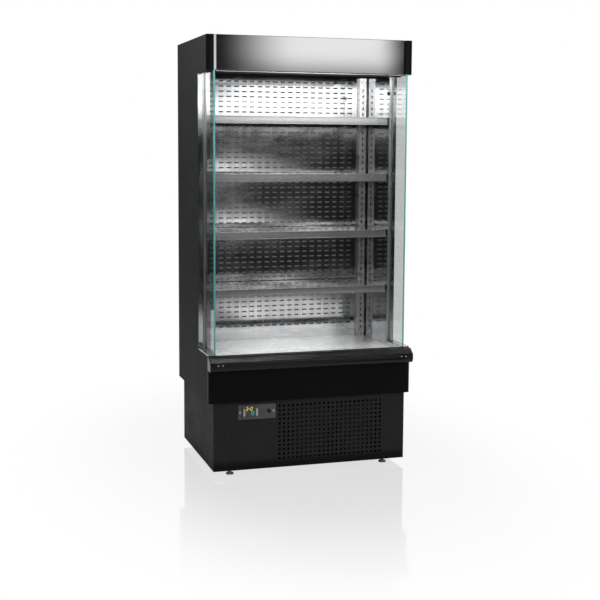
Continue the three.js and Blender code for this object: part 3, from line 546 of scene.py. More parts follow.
fan_grey = finish(
    "fan_grey", (0.16, 0.165, 0.17), (0.2, 0.205, 0.21), (0.4, 0.5),
    grain=700.0, depth=0.00006, dust=(0.3, 0.29, 0.27))
print(len(bpy.data.materials), "finishes so far")

# %% [markdown]
# ### Metals
# The back panel and the walls' inner faces are bright stainless sheet: almost a
# mirror, with faint rolling lines, and thin enough to be a little wavy. The shelves
# are darker. The deck, the uprights and the price rails are satin, and part of
# their shader is plain paint, so that they catch the lamp from every side. Zinc
# plate is duller still, and the fins are bare foil, black on the warm coil.

# %% Directions of the drawn lines
LINES_ALONG_X, LINES_ALONG_Z = (14.0, 900.0, 900.0), (900.0, 900.0, 14.0)
DRAWN_ALONG_X, DRAWN_ALONG_Z = (10.0, 1200.0, 1200.0), (1200.0, 1200.0, 10.0)
FIN_LINES = (500.0, 500.0, 6.0)
SHEET_DEPTH, SHEET_WAVE, DRAWN_DEPTH = 0.00001, 0.0008, 0.00002
print("rolled lines are", round(LINES_ALONG_X[1] / LINES_ALONG_X[0]), "times closer across than along")

# %% Mix the metals
bright_steel = finish(
    "bright_steel", (0.62, 0.625, 0.63), (0.56, 0.565, 0.57), (0.07, 0.12),
    metal=1.0, stretch=LINES_ALONG_Z, depth=SHEET_DEPTH, wave=SHEET_WAVE)
shelf_steel = finish(
    "shelf_steel", (0.48, 0.485, 0.49), (0.42, 0.425, 0.43), (0.08, 0.16),
    metal=1.0, stretch=LINES_ALONG_X, depth=SHEET_DEPTH, wave=SHEET_WAVE)
deck_steel = finish(
    "deck_steel", (0.74, 0.745, 0.75), (0.66, 0.665, 0.67), (0.20, 0.30),
    metal=0.45, stretch=LINES_ALONG_X, depth=SHEET_DEPTH, wave=SHEET_WAVE)
upright_steel = finish(
    "upright_steel", (0.62, 0.625, 0.63), (0.54, 0.545, 0.55), (0.24, 0.34),
    metal=0.6, stretch=DRAWN_ALONG_Z, depth=DRAWN_DEPTH)
anodised = finish(
    "anodised", (0.36, 0.364, 0.368), (0.32, 0.324, 0.328), (0.15, 0.20),
    metal=0.8, stretch=DRAWN_ALONG_X, depth=DRAWN_DEPTH)
blind_alloy = finish(
    "blind_alloy", (0.62, 0.63, 0.64), (0.54, 0.55, 0.56), (0.22, 0.34),
    metal=1.0, stretch=DRAWN_ALONG_X, depth=DRAWN_DEPTH)
zinc_plate = finish(
    "zinc_plate", (0.46, 0.47, 0.48), (0.34, 0.35, 0.36), (0.3, 0.5),
    metal=0.75, grain=120.0, depth=0.00008, dust=(0.25, 0.24, 0.23))
coil_black = finish(
    "coil_black", (0.010, 0.010, 0.0105), (0.016, 0.016, 0.0165), (0.4, 0.55),
    grain=500.0, depth=0.0001, stretch=FIN_LINES, dust=(0.06, 0.058, 0.055), Specular_IOR_Level=0.3)
fin_foil = finish(
    "fin_foil", (0.60, 0.605, 0.61), (0.45, 0.455, 0.46), (0.28, 0.42),
    metal=1.0, stretch=FIN_LINES, depth=0.0002, dust=(0.3, 0.29, 0.28))
print(len(bpy.data.materials), "finishes so far")

# %% [markdown]
# ### Glass, light and cloth
# The end panes are clear toughened glass. Its ground edges look green because the
# eye looks along the pane. One glass for the whole pane would leave them pale, so
# the edge faces get a deeper green finish of their own. For shadows and soft light
# the pane lets light straight through, or it would leave the inside dark. Light
# from the lamp tube, the digits and the small sign is emission on an ordinary
# finish, and the blind's cloth is two crossing waves of thread.

# %% Mix the glass
def clear_glass(name, colour, rough, see_through):
    material = finish(name, colour, tuple(c * 0.98 for c in colour), rough,
                      grain=40.0, depth=0.0, IOR=1.45, Transmission_Weight=1.0)
    tree = material.node_tree
    shader = tree.nodes["Principled BSDF"]
    out = tree.nodes["Material Output"]
    for old in list(shader.inputs["Normal"].links):
        tree.links.remove(old)
    path = add_node(tree, "ShaderNodeLightPath")
    clear = add_node(tree, "ShaderNodeBsdfTransparent")
    clear.inputs["Color"].default_value = (*see_through, 1.0)
    both = add_node(tree, "ShaderNodeMixShader")
    thin = math_node(tree, "MAXIMUM", path.outputs["Is Shadow Ray"], path.outputs["Is Diffuse Ray"])
    tree.links.new(thin, both.inputs[0])
    tree.links.new(shader.outputs[0], both.inputs[1])
    tree.links.new(clear.outputs[0], both.inputs[2])
    tree.links.new(both.outputs[0], out.inputs["Surface"])
    return material


pane_glass = clear_glass("pane_glass", (0.62, 0.635, 0.63), (0.0, 0.015), (0.93, 0.96, 0.95))
pane_edge = finish(
    "pane_edge", (0.06, 0.27, 0.245), (0.10, 0.35, 0.32), (0.15, 0.3),
    grain=300.0, depth=0.00003, Specular_IOR_Level=0.6)
print("glass finishes:", pane_glass.name, pane_edge.name)

# %% Mix the light and the display
def glowing(name, base, glow, strength):
    material = finish(name, base, tuple(c * 0.9 for c in base), (0.3, 0.4), grain=500.0, depth=0.00002)
    shader = material.node_tree.nodes["Principled BSDF"]
    shader.inputs["Emission Color"].default_value = (*glow, 1.0)
    shader.inputs["Emission Strength"].default_value = strength
    return material


lamp_opal = glowing("lamp_opal", (0.85, 0.86, 0.87), (0.96, 0.98, 1.0), 6.0)
digit_yellow = glowing("digit_yellow", (0.35, 0.30, 0.02), (0.9, 0.78, 0.05), 0.9)
sign_teal = glowing("sign_teal", (0.02, 0.08, 0.072), (0.022, 0.130, 0.108), 1.0)
display_window = finish(
    "display_window", (0.040, 0.041, 0.043), (0.050, 0.051, 0.053), (0.1, 0.2), grain=900.0, depth=0.00001)
print("glowing finishes:", lamp_opal.name, digit_yellow.name, sign_teal.name)

# %% Mix the cloth
THREADS = 260.0


def woven(name, light, dark):
    """A woven cloth: crossing threads from two wave textures, with a faint sheen."""
    material = finish(name, light, dark, (0.5, 0.7), grain=700.0, depth=0.00003, Sheen_Weight=0.2)
    tree = material.node_tree
    where = add_node(tree, "ShaderNodeTexCoord").outputs["Object"]
    threads = []
    for direction in ("X", "Z"):
        wave = add_node(tree, "ShaderNodeTexWave", bands_direction=direction)
        wave.inputs["Scale"].default_value = THREADS
        tree.links.new(where, wave.inputs["Vector"])
        threads.append(wave.outputs["Fac"])
    weave = math_node(tree, "MAXIMUM", threads[0], threads[1])
    bump = add_node(tree, "ShaderNodeBump")
    bump.inputs["Distance"].default_value = 0.0002
    tree.links.new(weave, bump.inputs["Height"])
    tree.links.new(bump.outputs["Normal"], tree.nodes["Principled BSDF"].inputs["Normal"])
    return material


blind_cloth = woven("blind_cloth", (0.58, 0.59, 0.60), (0.55, 0.56, 0.57))
print(len(bpy.data.materials), "finishes mixed")

# %% [markdown]
# ## The shell
# Two foam-filled side walls carry everything. Outside they are powder coated; the
# inner face, the narrow front edge and the ledge under the pane are stainless.
# A groove shows on the outside, above and below the pane, where the deeper cheek
# of sheet joins the wall. A painted line would look flat from the side, so the
# groove is real: two cuts across the outer face mark its sides, and the strip
# between them is pushed in.

# %% Side walls
WALL_FRONT, WALL_OUTSIDE, WALL_INSIDE = -0.1125, 0.4999, 0.4545
GROOVE, GROOVE_DEPTH = 0.0016, 0.0012
SILL, CANOPY_LOW = 0.576, 1.880
LEDGE_BELOW = 1.0


def side_wall(side):
    sign = 1 if side == "right" else -1
    wall = copy_of("side_wall_" + side, "side_wall_" + side + "_panels")
    edit(wall)
    for y in (WALL_FRONT - GROOVE / 2, WALL_FRONT + GROOVE / 2):
        cut_across((0, y, 0), (0, 1, 0))
    for z in (SILL, CANOPY_LOW):
        cut_across((0, 0, z), (0, 0, 1))

    def in_groove(face):
        centre = face.calc_center_median()
        return (abs(centre.x) > WALL_OUTSIDE and abs(centre.y - WALL_FRONT) < GROOVE * 0.6
                and (centre.z < SILL or centre.z > CANOPY_LOW))

    count = pick(wall, "FACE", in_groove)
    push((-sign * GROOVE_DEPTH, 0, 0))
    leave()
    print(wall.name, "groove faces:", count)
    ease_edges(wall, 0.0005)
    settle_shading(wall)
    keep(wall, "cabinet", [powder_coat, bright_steel], ["side_wall_" + side])

    def is_inside(face):
        inner = abs(face.center.x) < WALL_INSIDE
        front_edge = face.normal.y < -0.7 and SILL < face.center.z < CANOPY_LOW
        ledge = face.normal.z > 0.7 and face.center.z < LEDGE_BELOW
        return inner or front_edge or ledge

    refinish(wall, 1, is_inside)


for side in ("left", "right"):
    side_wall(side)

# %% [markdown]
# The back wall's outer sheet is pressed in a little inside a flat border, which
# stiffens thin steel. An inset draws the border, a second one the press line, and
# the middle is moved in. Roof and tub are plain folded sheet, so the measured
# solid with eased edges is enough for them.

# %% Back wall, roof and tub
def plain_copy(node, finishes, body="cabinet", width=0.001, segments=2, name=None):
    """The measured solid with eased edges; body is what it rides on."""
    piece = copy_of(node, name or node + "_sheet")
    ease_edges(piece, width, segments)
    settle_shading(piece)
    return keep(piece, body, finishes, [node])


BACK_BORDER, PRESS_WIDTH, BACK_PRESS = 0.030, 0.003, 0.0021
rear_low, rear_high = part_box("back_wall")


def back_sheet():
    """The back wall; its inner face, behind the air duct, is white."""
    piece = copy_of("back_wall", "back_wall_sheet")
    edit(piece)
    pick(piece, "FACE", lambda f: f.normal.y > 0.9 and f.calc_center_median().y > rear_high.y - 0.001)
    bpy.ops.mesh.inset(thickness=BACK_BORDER)
    bpy.ops.mesh.inset(thickness=PRESS_WIDTH)
    bpy.ops.transform.translate(value=(0, -BACK_PRESS, 0))
    leave()
    ease_edges(piece, 0.0015)
    settle_shading(piece)
    keep(piece, "cabinet", [powder_coat, duct_white], ["back_wall"])
    refinish(piece, 1, lambda f: f.normal.y < -0.7)


back_sheet()
plain_copy("roof_panel", powder_coat, width=0.0012)
plain_copy("insulated_tub", bright_steel, width=0.002)
print("shell pieces:", made)

# %% [markdown]
# ## Front panel and bumper
# The front panel is one folded sheet with round corners. The bumper above it is a
# plastic extrusion: a lip at the back, a shallow channel, a crown that falls to
# the nose, and a flat face that turns under. A rounded block would lose the lip
# and the channel, so the section is drawn once, as the die has it, and pulled
# along the rail and along the two end caps. Sunk screws hold both.

# %% Front panel
front_panel = plain_copy("front_panel", panel_black, width=0.0015, segments=3)
print("front panel faces:", made[front_panel.name])

# %% Bumper section
BUMPER_BACK, NOSE, BUMPER_LOW = -0.3005, -0.3625, 0.506
NO_REACH = 1e-6


def bumper_outline():
    """The section as (y, z) points, from the back's foot up and round."""
    crown = [(-0.3005, 0.5730)] + arc((-0.3035, 0.5730), 0.003, 0, 180, 6)
    channel = [(-0.3070, 0.5708), (-0.3120, 0.5702), (-0.3155, 0.5712)]
    hump = [(-0.3185, 0.5724), (-0.3230, 0.5730), (-0.3275, 0.5726), (-0.3325, 0.5702)]
    nose = arc((-0.3525, 0.5430), 0.0100, 128, 180, 8)
    lower = [(NOSE, 0.5260)] + arc((-0.3445, 0.5240), 0.0180, 180, 270, 8)
    return [(BUMPER_BACK, BUMPER_LOW)] + crown + channel + hump + nose + lower


def bumper_length(name, low, high):
    piece = pulled(name, bumper_outline(), "X", low, high)
    edit(piece)
    pick(piece, "EDGE", lambda e: span(e)[0].x < NO_REACH)
    bpy.ops.mesh.bevel(offset=0.0006, segments=2, affect="EDGES")
    leave()
    settle_shading(piece, 50)
    return piece


RAIL_HALF, HALF = 0.4497, 0.5
SCREW_R, SMALL_SCREW, BORE_GAP, BORE_DEPTH, BORE_Z = 0.0042, 0.72, 0.0006, 0.0017, 0.5385
CAP_SCREW_X, RAIL_SCREW_X = 0.462, 0.440


def bore(piece, x):
    """A shallow round hole in the bumper's flat face, for a sunk screw."""
    radius = SCREW_R * SMALL_SCREW + BORE_GAP
    cut_away(piece, round_bar("bore", "Y", (x, BORE_Z), radius, NOSE - 0.01, NOSE + BORE_DEPTH, 20))


bumper_rail = bumper_length("bumper_rail_moulding", -RAIL_HALF, RAIL_HALF)
for x in (-RAIL_SCREW_X, RAIL_SCREW_X):
    bore(bumper_rail, x)
keep(bumper_rail, "cabinet", bumper_black, ["bumper_rail"])
print("bumper section has", len(bumper_outline()), "points")

# %% [markdown]
# The caps have the rail's section too, but their outer ends are rounded off. The
# lip is too narrow for a wide bevel, so the end face is pulled out in three short
# steps and shrunk a little at each, which draws the round.

# %% Bumper caps
CAP_INNER, CAP_MIDDLE = 0.45, (0, -0.330, 0.540)
CAP_STEPS = ((0.0020, 0.985), (0.0012, 0.975), (0.0008, 0.96))


def bumper_cap(side):
    sign = 1 if side == "right" else -1
    reach = sum(length for length, size in CAP_STEPS)
    low, high = sorted((sign * CAP_INNER, sign * (HALF - reach)))
    piece = pulled("bumper_cap_" + side, bumper_outline(), "X", low, high)
    edit(piece)
    for length, size in CAP_STEPS:
        pick(piece, "FACE", lambda f: f.normal.x * sign > 0.9 and len(f.verts) > 12)
        push((sign * length, 0, 0))
        bpy.ops.transform.resize(value=(1, size, size), center_override=CAP_MIDDLE)
    leave()
    bore(piece, sign * CAP_SCREW_X)
    settle_shading(piece, 50)
    return keep(piece, "cabinet", bumper_black, ["bumper_end_" + side])


caps = [bumper_cap(side) for side in ("left", "right")]
print("caps:", [cap.name for cap in caps])

# %% [markdown]
# ## Screws
# Pan-head screws hold the bumper, the control plate, the service panel and the
# back sheet. One is modelled: a disc whose rim is rounded and whose slot is cut by
# pushing a strip of its face in. A painted slot would not catch the light. Every
# other screw is a copy of its mesh, turned a little further each time, as screws
# never line up, and set in place.

# %% Model one screw and its copies
SCREW_RIM, SCREW_DOME, SLOT_HALF, SLOT_DEPTH = 0.0012, 0.0007, 0.0005, 0.0009


def first_screw():
    screw = round_bar("screw_pattern", "Z", (0, 0), SCREW_R, 0.0, SCREW_RIM, 20)
    edit(screw)
    pick(screw, "FACE", lambda f: f.normal.z > 0.9)
    push((0, 0, SCREW_DOME))
    bpy.ops.transform.resize(value=(0.72, 0.72, 1), center_override=(0, 0, SCREW_RIM + SCREW_DOME))
    for x in (-SLOT_HALF, SLOT_HALF):
        cut_across((x, 0, 0), (1, 0, 0))
    pick(screw, "FACE", lambda f: f.normal.z > 0.9 and abs(f.calc_center_median().x) < SLOT_HALF * 0.8)
    push((0, 0, -SLOT_DEPTH))
    leave()
    return screw


screw_pattern = first_screw()
FIRST_TURN, NEXT_TURN = 0.6, 0.7


def screw_at(place, axis, size, turn):
    """A copy of the screw with its head facing along axis."""
    copy = bpy.data.objects.new("screw", screw_pattern.data.copy())
    bpy.context.scene.collection.objects.link(copy)
    aim = Vector(axis).to_track_quat("Z", "Y").to_matrix().to_4x4()
    turned = Matrix.Translation(place) @ aim @ Matrix.Rotation(turn, 4, "Z")
    copy.data.transform(turned @ Matrix.Scale(size, 4))
    return copy


def screws(name, body, metal, axis, spots, size=1.0):
    """The screws of one piece face along axis and are joined into one mesh."""
    heads = [screw_at(place, axis, size, FIRST_TURN + NEXT_TURN * i) for i, place in enumerate(spots)]
    piece = joined(*heads)
    piece.name = name
    settle_shading(piece, 30)
    print(name + ":", len(spots), "screws")
    return keep(piece, body, metal)


TO_FRONT, TO_REAR = (0, -1, 0), (0, 1, 0)
bumper_x = [sign * x for sign in (-1, 1) for x in (CAP_SCREW_X, RAIL_SCREW_X)]
bumper_spots = [(x, NOSE + BORE_DEPTH, BORE_Z) for x in bumper_x]
screws("cap_screws", "cabinet", deck_steel, TO_FRONT, bumper_spots, SMALL_SCREW)

# %% Screws of the back sheet
SCREW_INSET, SCREW_ROWS = BACK_BORDER + 0.016, 6
rows_from, rows_to = rear_low.z + SCREW_INSET, rear_high.z - SCREW_INSET
heights = [rows_from + i * (rows_to - rows_from) / (SCREW_ROWS - 1) for i in range(SCREW_ROWS)]
side_x, sheet_y = rear_high.x - SCREW_INSET, rear_high.y - BACK_PRESS
back_spots = [(sign * side_x, sheet_y, z) for sign in (-1, 1) for z in heights]
screws("back_screws", "cabinet", upright_steel, TO_REAR, back_spots)

# %% [markdown]
# ## Panes and their channels
# Each pane is 8 mm glass. Its copy keeps the measured shape, its edges are ground
# to a small chamfer, and the narrow faces get the green edge finish: real glass
# has that chamfer, and without it the edge shows no bright line. The channel on
# the wall's front edge grips the pane, and a black clamp knob near the top, a
# short bar with a rounded rim and a dished face, holds it.

# %% Panes, channels and knobs
KNOB_Y, KNOB_Z, KNOB_RADIUS = -0.1200, 1.798, 0.0095
KNOB_FOOT, KNOB_TIP, KNOB_DISH = 0.4541, 0.4440, 0.0012


def pane(side):
    piece = copy_of("glass_" + side, "pane_" + side)
    ease_edges(piece, 0.0007, 1)
    settle_shading(piece, 20)
    keep(piece, "cabinet", [pane_glass, pane_edge], ["glass_" + side])
    refinish(piece, 1, lambda f: abs(f.normal.x) < 0.9)


def clamp_knob(side):
    sign = 1 if side == "right" else -1
    low, high = sorted((sign * KNOB_FOOT, sign * KNOB_TIP))
    knob = round_bar("clamp_knob_" + side, "X", (KNOB_Y, KNOB_Z), KNOB_RADIUS, low, high, 40)
    edit(knob)
    near_tip = KNOB_TIP + 0.002
    pick(knob, "EDGE", lambda e: span(e)[0].x < NO_REACH and abs(span(e)[1].x) < near_tip)
    bpy.ops.mesh.bevel(offset=0.0022, segments=3, affect="EDGES")
    pick(knob, "FACE", lambda f: f.normal.x * -sign > 0.95)
    bpy.ops.mesh.inset(thickness=0.002)
    push((sign * KNOB_DISH, 0, 0))
    leave()
    settle_shading(knob, 35)
    return keep(knob, "cabinet", moulded_black)


for side in ("left", "right"):
    pane(side)
    plain_copy("glass_trim_" + side, anodised, width=0.0006, name="pane_channel_" + side)
    clamp_knob(side)
print("pane pieces:", [n for n in made if "pane" in n or "knob" in n])

# %% [markdown]
# ## The canopy
# A bowed black fascia hides the lamp and the night blind. It sits between two
# round-cornered posts. Each end of the fascia rises to meet its post, and the
# left rise catches the studio's strip light as one bright line. A flat box would
# mirror the room in one tone, so the bow is drawn in the section and the rises
# are made by cutting off a border at each end and moving its outer edge forward.

# %% Fascia
FASCIA_HALF, CANOPY_TOP = 0.4657, 2.040
FASCIA_EDGE, FASCIA_BOW, FASCIA_T = -0.2945, 0.0006, 0.003
BORDER_WIDTH, BORDER_RISE, LIP_END, BOW_STEPS = 0.0112, 0.0024, -0.2716, 16


def fascia_outline():
    """The bowed face, and the inner face, joined by a lip at the top and below."""
    mid, half = (CANOPY_LOW + CANOPY_TOP) / 2, (CANOPY_TOP - CANOPY_LOW) / 2 - 0.002
    steps = [-1 + 2 * i / BOW_STEPS for i in range(BOW_STEPS + 1)]
    bow = [(FASCIA_EDGE - FASCIA_BOW * (1 - t * t), mid + half * t) for t in steps]
    lowest, highest = CANOPY_LOW + FASCIA_T, CANOPY_TOP - FASCIA_T
    inner = [(y + FASCIA_T, min(max(z, lowest), highest)) for y, z in reversed(bow)]
    top = [(FASCIA_EDGE + 0.0008, CANOPY_TOP - 0.0004), (FASCIA_EDGE + 0.002, CANOPY_TOP),
           (LIP_END, CANOPY_TOP), (LIP_END, highest)]
    low = [(LIP_END, lowest), (LIP_END, CANOPY_LOW), (FASCIA_EDGE + 0.002, CANOPY_LOW),
           (FASCIA_EDGE + 0.0008, CANOPY_LOW + 0.0004)]
    return bow + top + inner + low


def fascia():
    piece = pulled("fascia_bowed", fascia_outline(), "X", -FASCIA_HALF, FASCIA_HALF)
    edit(piece)
    for x in (BORDER_WIDTH - FASCIA_HALF, FASCIA_HALF - BORDER_WIDTH):
        cut_across((x, 0, 0), (1, 0, 0))
    pick(piece, "VERT", lambda v: abs(v.co.x) > FASCIA_HALF - 0.001 and v.co.y < FASCIA_EDGE + 0.0001)
    bpy.ops.transform.translate(value=(0, -BORDER_RISE, 0))
    leave()
    settle_shading(piece, 9)
    return keep(piece, "cabinet", canopy_black, ["canopy_fascia"])


fascia()
print("fascia faces:", made["fascia_bowed"])

# %% Corner posts
POST_IN, POST_FACE, POST_BACK, POST_ROUND = 0.466, -0.2975, -0.2605, 0.016
POST_TAB, POST_STEP = 0.454, -0.2712


def corner_post(side):
    sign = 1 if side == "right" else -1
    corner = arc((HALF - POST_ROUND, POST_FACE + POST_ROUND), POST_ROUND, 270, 360, 10)
    outline = [(POST_IN, POST_FACE)] + corner + [(HALF, POST_BACK), (POST_TAB, POST_BACK),
                                                 (POST_TAB, POST_STEP), (POST_IN, POST_STEP)]
    outline = [(sign * x, y) for x, y in outline]
    piece = pulled("corner_post_" + side, outline, "Z", CANOPY_LOW, CANOPY_TOP)
    edit(piece)
    pick(piece, "EDGE", lambda e: span(e)[0].z < NO_REACH)
    bpy.ops.mesh.bevel(offset=0.0008, segments=2, affect="EDGES")
    leave()
    settle_shading(piece, 25)
    return keep(piece, "cabinet", panel_black, ["canopy_end_" + side])


for side in ("left", "right"):
    corner_post(side)
print("canopy pieces:", [n for n in made if "post" in n or "fascia" in n])

# %% [markdown]
# Under the canopy a lamp tube with grey end sockets lights the shelves, and the
# air comb lets the cold curtain of air down in front of them. The comb and the
# ceiling are matt black, so that they stay dark beside the bright lamp.

# %% Lamp, air comb and ceiling
SOCKETS_FROM = 0.44


def lamp():
    piece = copy_of("canopy_lamp", "lamp_tube")
    ease_edges(piece, 0.0006, 1, 60)
    settle_shading(piece)
    keep(piece, "cabinet", [lamp_opal, moulded_grey], ["canopy_lamp"])
    refinish(piece, 1, lambda f: abs(f.center.x) > SOCKETS_FROM)


lamp()
plain_copy("air_comb", ceiling_black, width=0.0005, segments=1)
plain_copy("ceiling_panel", ceiling_black, width=0.0004, segments=1)
print("lamp faces:", made["lamp_tube"])

# %% [markdown]
# ## The night blind
# At night a silvery cloth is pulled down over the opening. Rolled up, only its pull
# bar shows under the canopy. The cloth is a thin sheet from the roller's front to
# the bar. A stiff sheet on the bar would pull out of the roller, so it is made
# between the two, with rows of faces to stretch.

# %% Roller and pull bar
plain_copy("blind_roller", blind_cloth, body="blind_roller", width=0.0006, segments=1)
GRIP_TOP = 1.8762


def pull_bar():
    """An alloy bar whose lower part is a black rubber grip."""
    piece = copy_of("blind_pull_bar", "blind_pull_bar_sheet")
    ease_edges(piece, 0.0015, 3)
    edit(piece)
    cut_across((0, 0, GRIP_TOP), (0, 0, 1))
    leave()
    settle_shading(piece)
    keep(piece, "blind_pull_bar", [blind_alloy, moulded_black], ["blind_pull_bar"])
    refinish(piece, 1, lambda f: f.center.z < GRIP_TOP)


pull_bar()
print("pull bar faces:", made["blind_pull_bar_sheet"])

# %% The cloth between them
CLOTH_HALF, CLOTH_Y, CLOTH_TOP, CLOTH_LOW = 0.442, -0.2677, 1.935, 1.8790
CLOTH_T = 0.0004


def blind_sheet():
    middle = (0, CLOTH_Y, (CLOTH_TOP + CLOTH_LOW) / 2)
    bpy.ops.mesh.primitive_grid_add(x_subdivisions=40, y_subdivisions=24, size=1, location=middle,
                                    rotation=(math.pi / 2, 0, 0))
    piece = bpy.context.object
    piece.name = "blind_cloth_sheet"
    piece.scale = (2 * CLOTH_HALF, CLOTH_TOP - CLOTH_LOW, 1)
    bpy.ops.object.transform_apply(location=True, rotation=True, scale=True)
    modify(piece, "SOLIDIFY", thickness=CLOTH_T, offset=0)
    settle_shading(piece, 40)
    keep(piece, None, blind_cloth)
    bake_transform(piece)


blind_sheet()
print("cloth length when rolled up:", round(CLOTH_TOP - CLOTH_LOW, 4), "m")

# %% [markdown]
# ## Inside: the slotted back panel
# Cold air comes through hundreds of slots in the stainless back panel. Cutting
# them out one by one would be slow and leave long thin faces, so one cell of the
# pattern is made: a plate inset to a slot, its corners rounded, its rim pressed
# in. Two arrays repeat it, the border grows out to the walls, and the sheet then
# gets its thickness.

# %% A pattern of pierced cells
PLATE_INSET, CELL_EDGE, CELL_JOIN = 0.0015, 0.0001, 0.00002
SHEET_T = 0.0012


def pierced_sheet(name, cell, hole, corner, rim, counts, centre, area, front):
    """A sheet facing the shopper with counts = (columns, rows) of holes. Sizes are
    (width, height), centre the middle of the pattern, area the sheet's (x0, x1, z0, z1)."""
    (wide, high), (columns, rows) = cell, counts
    bpy.ops.mesh.primitive_plane_add(size=1, rotation=(math.pi / 2, 0, 0))
    sheet = bpy.context.object
    sheet.name = name
    sheet.scale = (wide, high, 1)
    bpy.ops.object.transform_apply(location=True, rotation=True, scale=True)
    edit(sheet)
    bpy.ops.mesh.inset(thickness=PLATE_INSET)
    to_hole = (hole[0] / (wide - 2 * PLATE_INSET), 1, hole[1] / (high - 2 * PLATE_INSET))
    bpy.ops.transform.resize(value=to_hole, center_override=(0, 0, 0))

    def inside(vertex):
        return abs(vertex.co.x) < wide / 2 - CELL_EDGE and abs(vertex.co.z) < high / 2 - CELL_EDGE

    pick(sheet, "VERT", inside)
    bpy.ops.mesh.bevel(offset=corner, segments=2, affect="VERTICES")
    pick(sheet, "FACE", lambda f: all(inside(v) for v in f.verts))
    bpy.ops.mesh.inset(thickness=rim)
    bpy.ops.transform.translate(value=(0, rim, 0))
    bpy.ops.mesh.delete(type="FACE")
    leave()
    for count, step in ((columns, (wide, 0.0, 0.0)), (rows, (0.0, 0.0, high))):
        modify(sheet, "ARRAY", count=count, use_relative_offset=False, use_constant_offset=True,
               constant_offset_displace=step, use_merge_vertices=True, merge_threshold=CELL_JOIN)
    edit(sheet)
    shift = (centre[0] - wide * (columns - 1) / 2, front, centre[1] - high * (rows - 1) / 2)
    bpy.ops.transform.translate(value=shift)
    half_x, half_z = wide * columns / 2, high * rows / 2
    borders = ((0, centre[0] - half_x, area[0]), (0, centre[0] + half_x, area[1]),
               (2, centre[1] - half_z, area[2]), (2, centre[1] + half_z, area[3]))
    for axis, edge_at, goal in borders:

        def on_edge(edge):
            open_edge = len(edge.link_faces) == 1
            return open_edge and all(abs(v.co[axis] - edge_at) < 1e-5 for v in edge.verts)

        pick(sheet, "EDGE", on_edge)
        move = [0.0, 0.0, 0.0]
        move[axis] = goal - edge_at
        push(move)
    bpy.ops.mesh.select_all(action="SELECT")
    bpy.ops.mesh.remove_doubles(threshold=CELL_JOIN)
    leave()
    modify(sheet, "SOLIDIFY", thickness=SHEET_T, offset=-1)
    return sheet


# %% Back panel
SLOT_PITCH = (0.040, 0.0252)
SLOT_SIZE, SLOT_CORNER, SLOT_RIM = (0.0238, 0.0070), 0.0023, 0.0008
SLOT_COUNTS = (19, 50)
SLOT_MIDDLE_X, TOP_SLOT_Z, ROWS_TO_MIDDLE = 0.0068, 1.8342, 23.5
back_low, back_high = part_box("back_panel")
slots_middle = (SLOT_MIDDLE_X, TOP_SLOT_Z - ROWS_TO_MIDDLE * SLOT_PITCH[1])
back_panel = pierced_sheet(
    "back_panel_slotted", SLOT_PITCH, SLOT_SIZE, SLOT_CORNER, SLOT_RIM, SLOT_COUNTS, slots_middle,
    (back_low.x, back_high.x, back_low.z, back_high.z), back_low.y)
settle_shading(back_panel, 25)
keep(back_panel, "cabinet", bright_steel, ["back_panel"])
print("back panel faces:", made["back_panel_slotted"])

# %% [markdown]
# ## Uprights, shelves and price rails
# The uprights are slotted channels that the shelf brackets hook into. The shelves
# are folded pans. The price rails are satin aluminium with a thin lip above and
# below the price strip, which fills most of the rail's depth. The lips catch the
# light as two fine lines, so the rail isn't a block: its section is drawn with
# both lips and the strip between them, and pulled along the shelf.

# %% Uprights, shelves and rails
for side in ("left", "right"):
    plain_copy("upright_" + side, upright_steel, width=0.0005, segments=1)

RAIL_REACH, STRIP_SUNK = 0.448, 0.0024
LIP_ROUND, LIP_LOW, LIP_HIGH = 0.0008, 0.0034, 0.0040
STRIP_SOFT, STRIP_TO, STRIP_BOWED = 0.0044, 0.0050, 0.0002


def price_rail(number):
    low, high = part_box("price_rail_%d" % number)
    nose, face = low.y, low.y + STRIP_SUNK
    lip, strip = nose + 0.0006, face + 0.0006
    upper = [(nose + LIP_ROUND, 0), (nose, LIP_ROUND), (nose, LIP_LOW), (lip, LIP_HIGH),
             (strip, LIP_HIGH), (strip, STRIP_SOFT), (face, STRIP_TO)]
    section = [(high.y, low.z), (high.y, high.z)] + [(y, high.z - drop) for y, drop in upper]
    section.append((face - STRIP_BOWED, (low.z + high.z) / 2))
    section += [(y, low.z + rise) for y, rise in reversed(upper)]
    piece = pulled("price_rail_%d_strip" % number, section, "X", -RAIL_REACH, RAIL_REACH)
    settle_shading(piece, 30)
    keep(piece, "shelf_%d" % number, anodised, ["price_rail_%d" % number])


for number in (1, 2, 3, 4):
    shelf_name = "shelf_%d" % number
    plain_copy(shelf_name, shelf_steel, body=shelf_name, width=0.0008)
    price_rail(number)
plain_copy("deck_tray", deck_steel, body="deck_tray", width=0.0012)
plain_copy("return_grille", moulded_grey, width=0.0008)
print("shelf pieces:", [n for n in made if "shelf" in n or "rail_" in n])

# %% [markdown]
# A folded flange closes the gap between the deck and the back panel, and a bright
# trim runs along the outer edge of each ledge beside the bumper. Both are narrow
# strips of sheet. A bare block would have no fold, so a cut across it marks the
# hem and the faces beyond the cut are pulled out.

# %% Deck flange and ledge trims
def hemmed_strip(name, low, high, fold_at, is_hem, hem, body, metal):
    """A block cut across at fold_at (a point and a normal); the faces that pass
    is_hem are pulled out by the vector hem."""
    piece = block(name, low, high)
    edit(piece)
    cut_across(*fold_at)
    pick(piece, "FACE", is_hem)
    push(hem)
    bpy.ops.mesh.select_all(action="SELECT")
    bpy.ops.mesh.normals_make_consistent(inside=False)
    leave()
    ease_edges(piece, 0.0003)
    settle_shading(piece, 30)
    return keep(piece, body, metal)


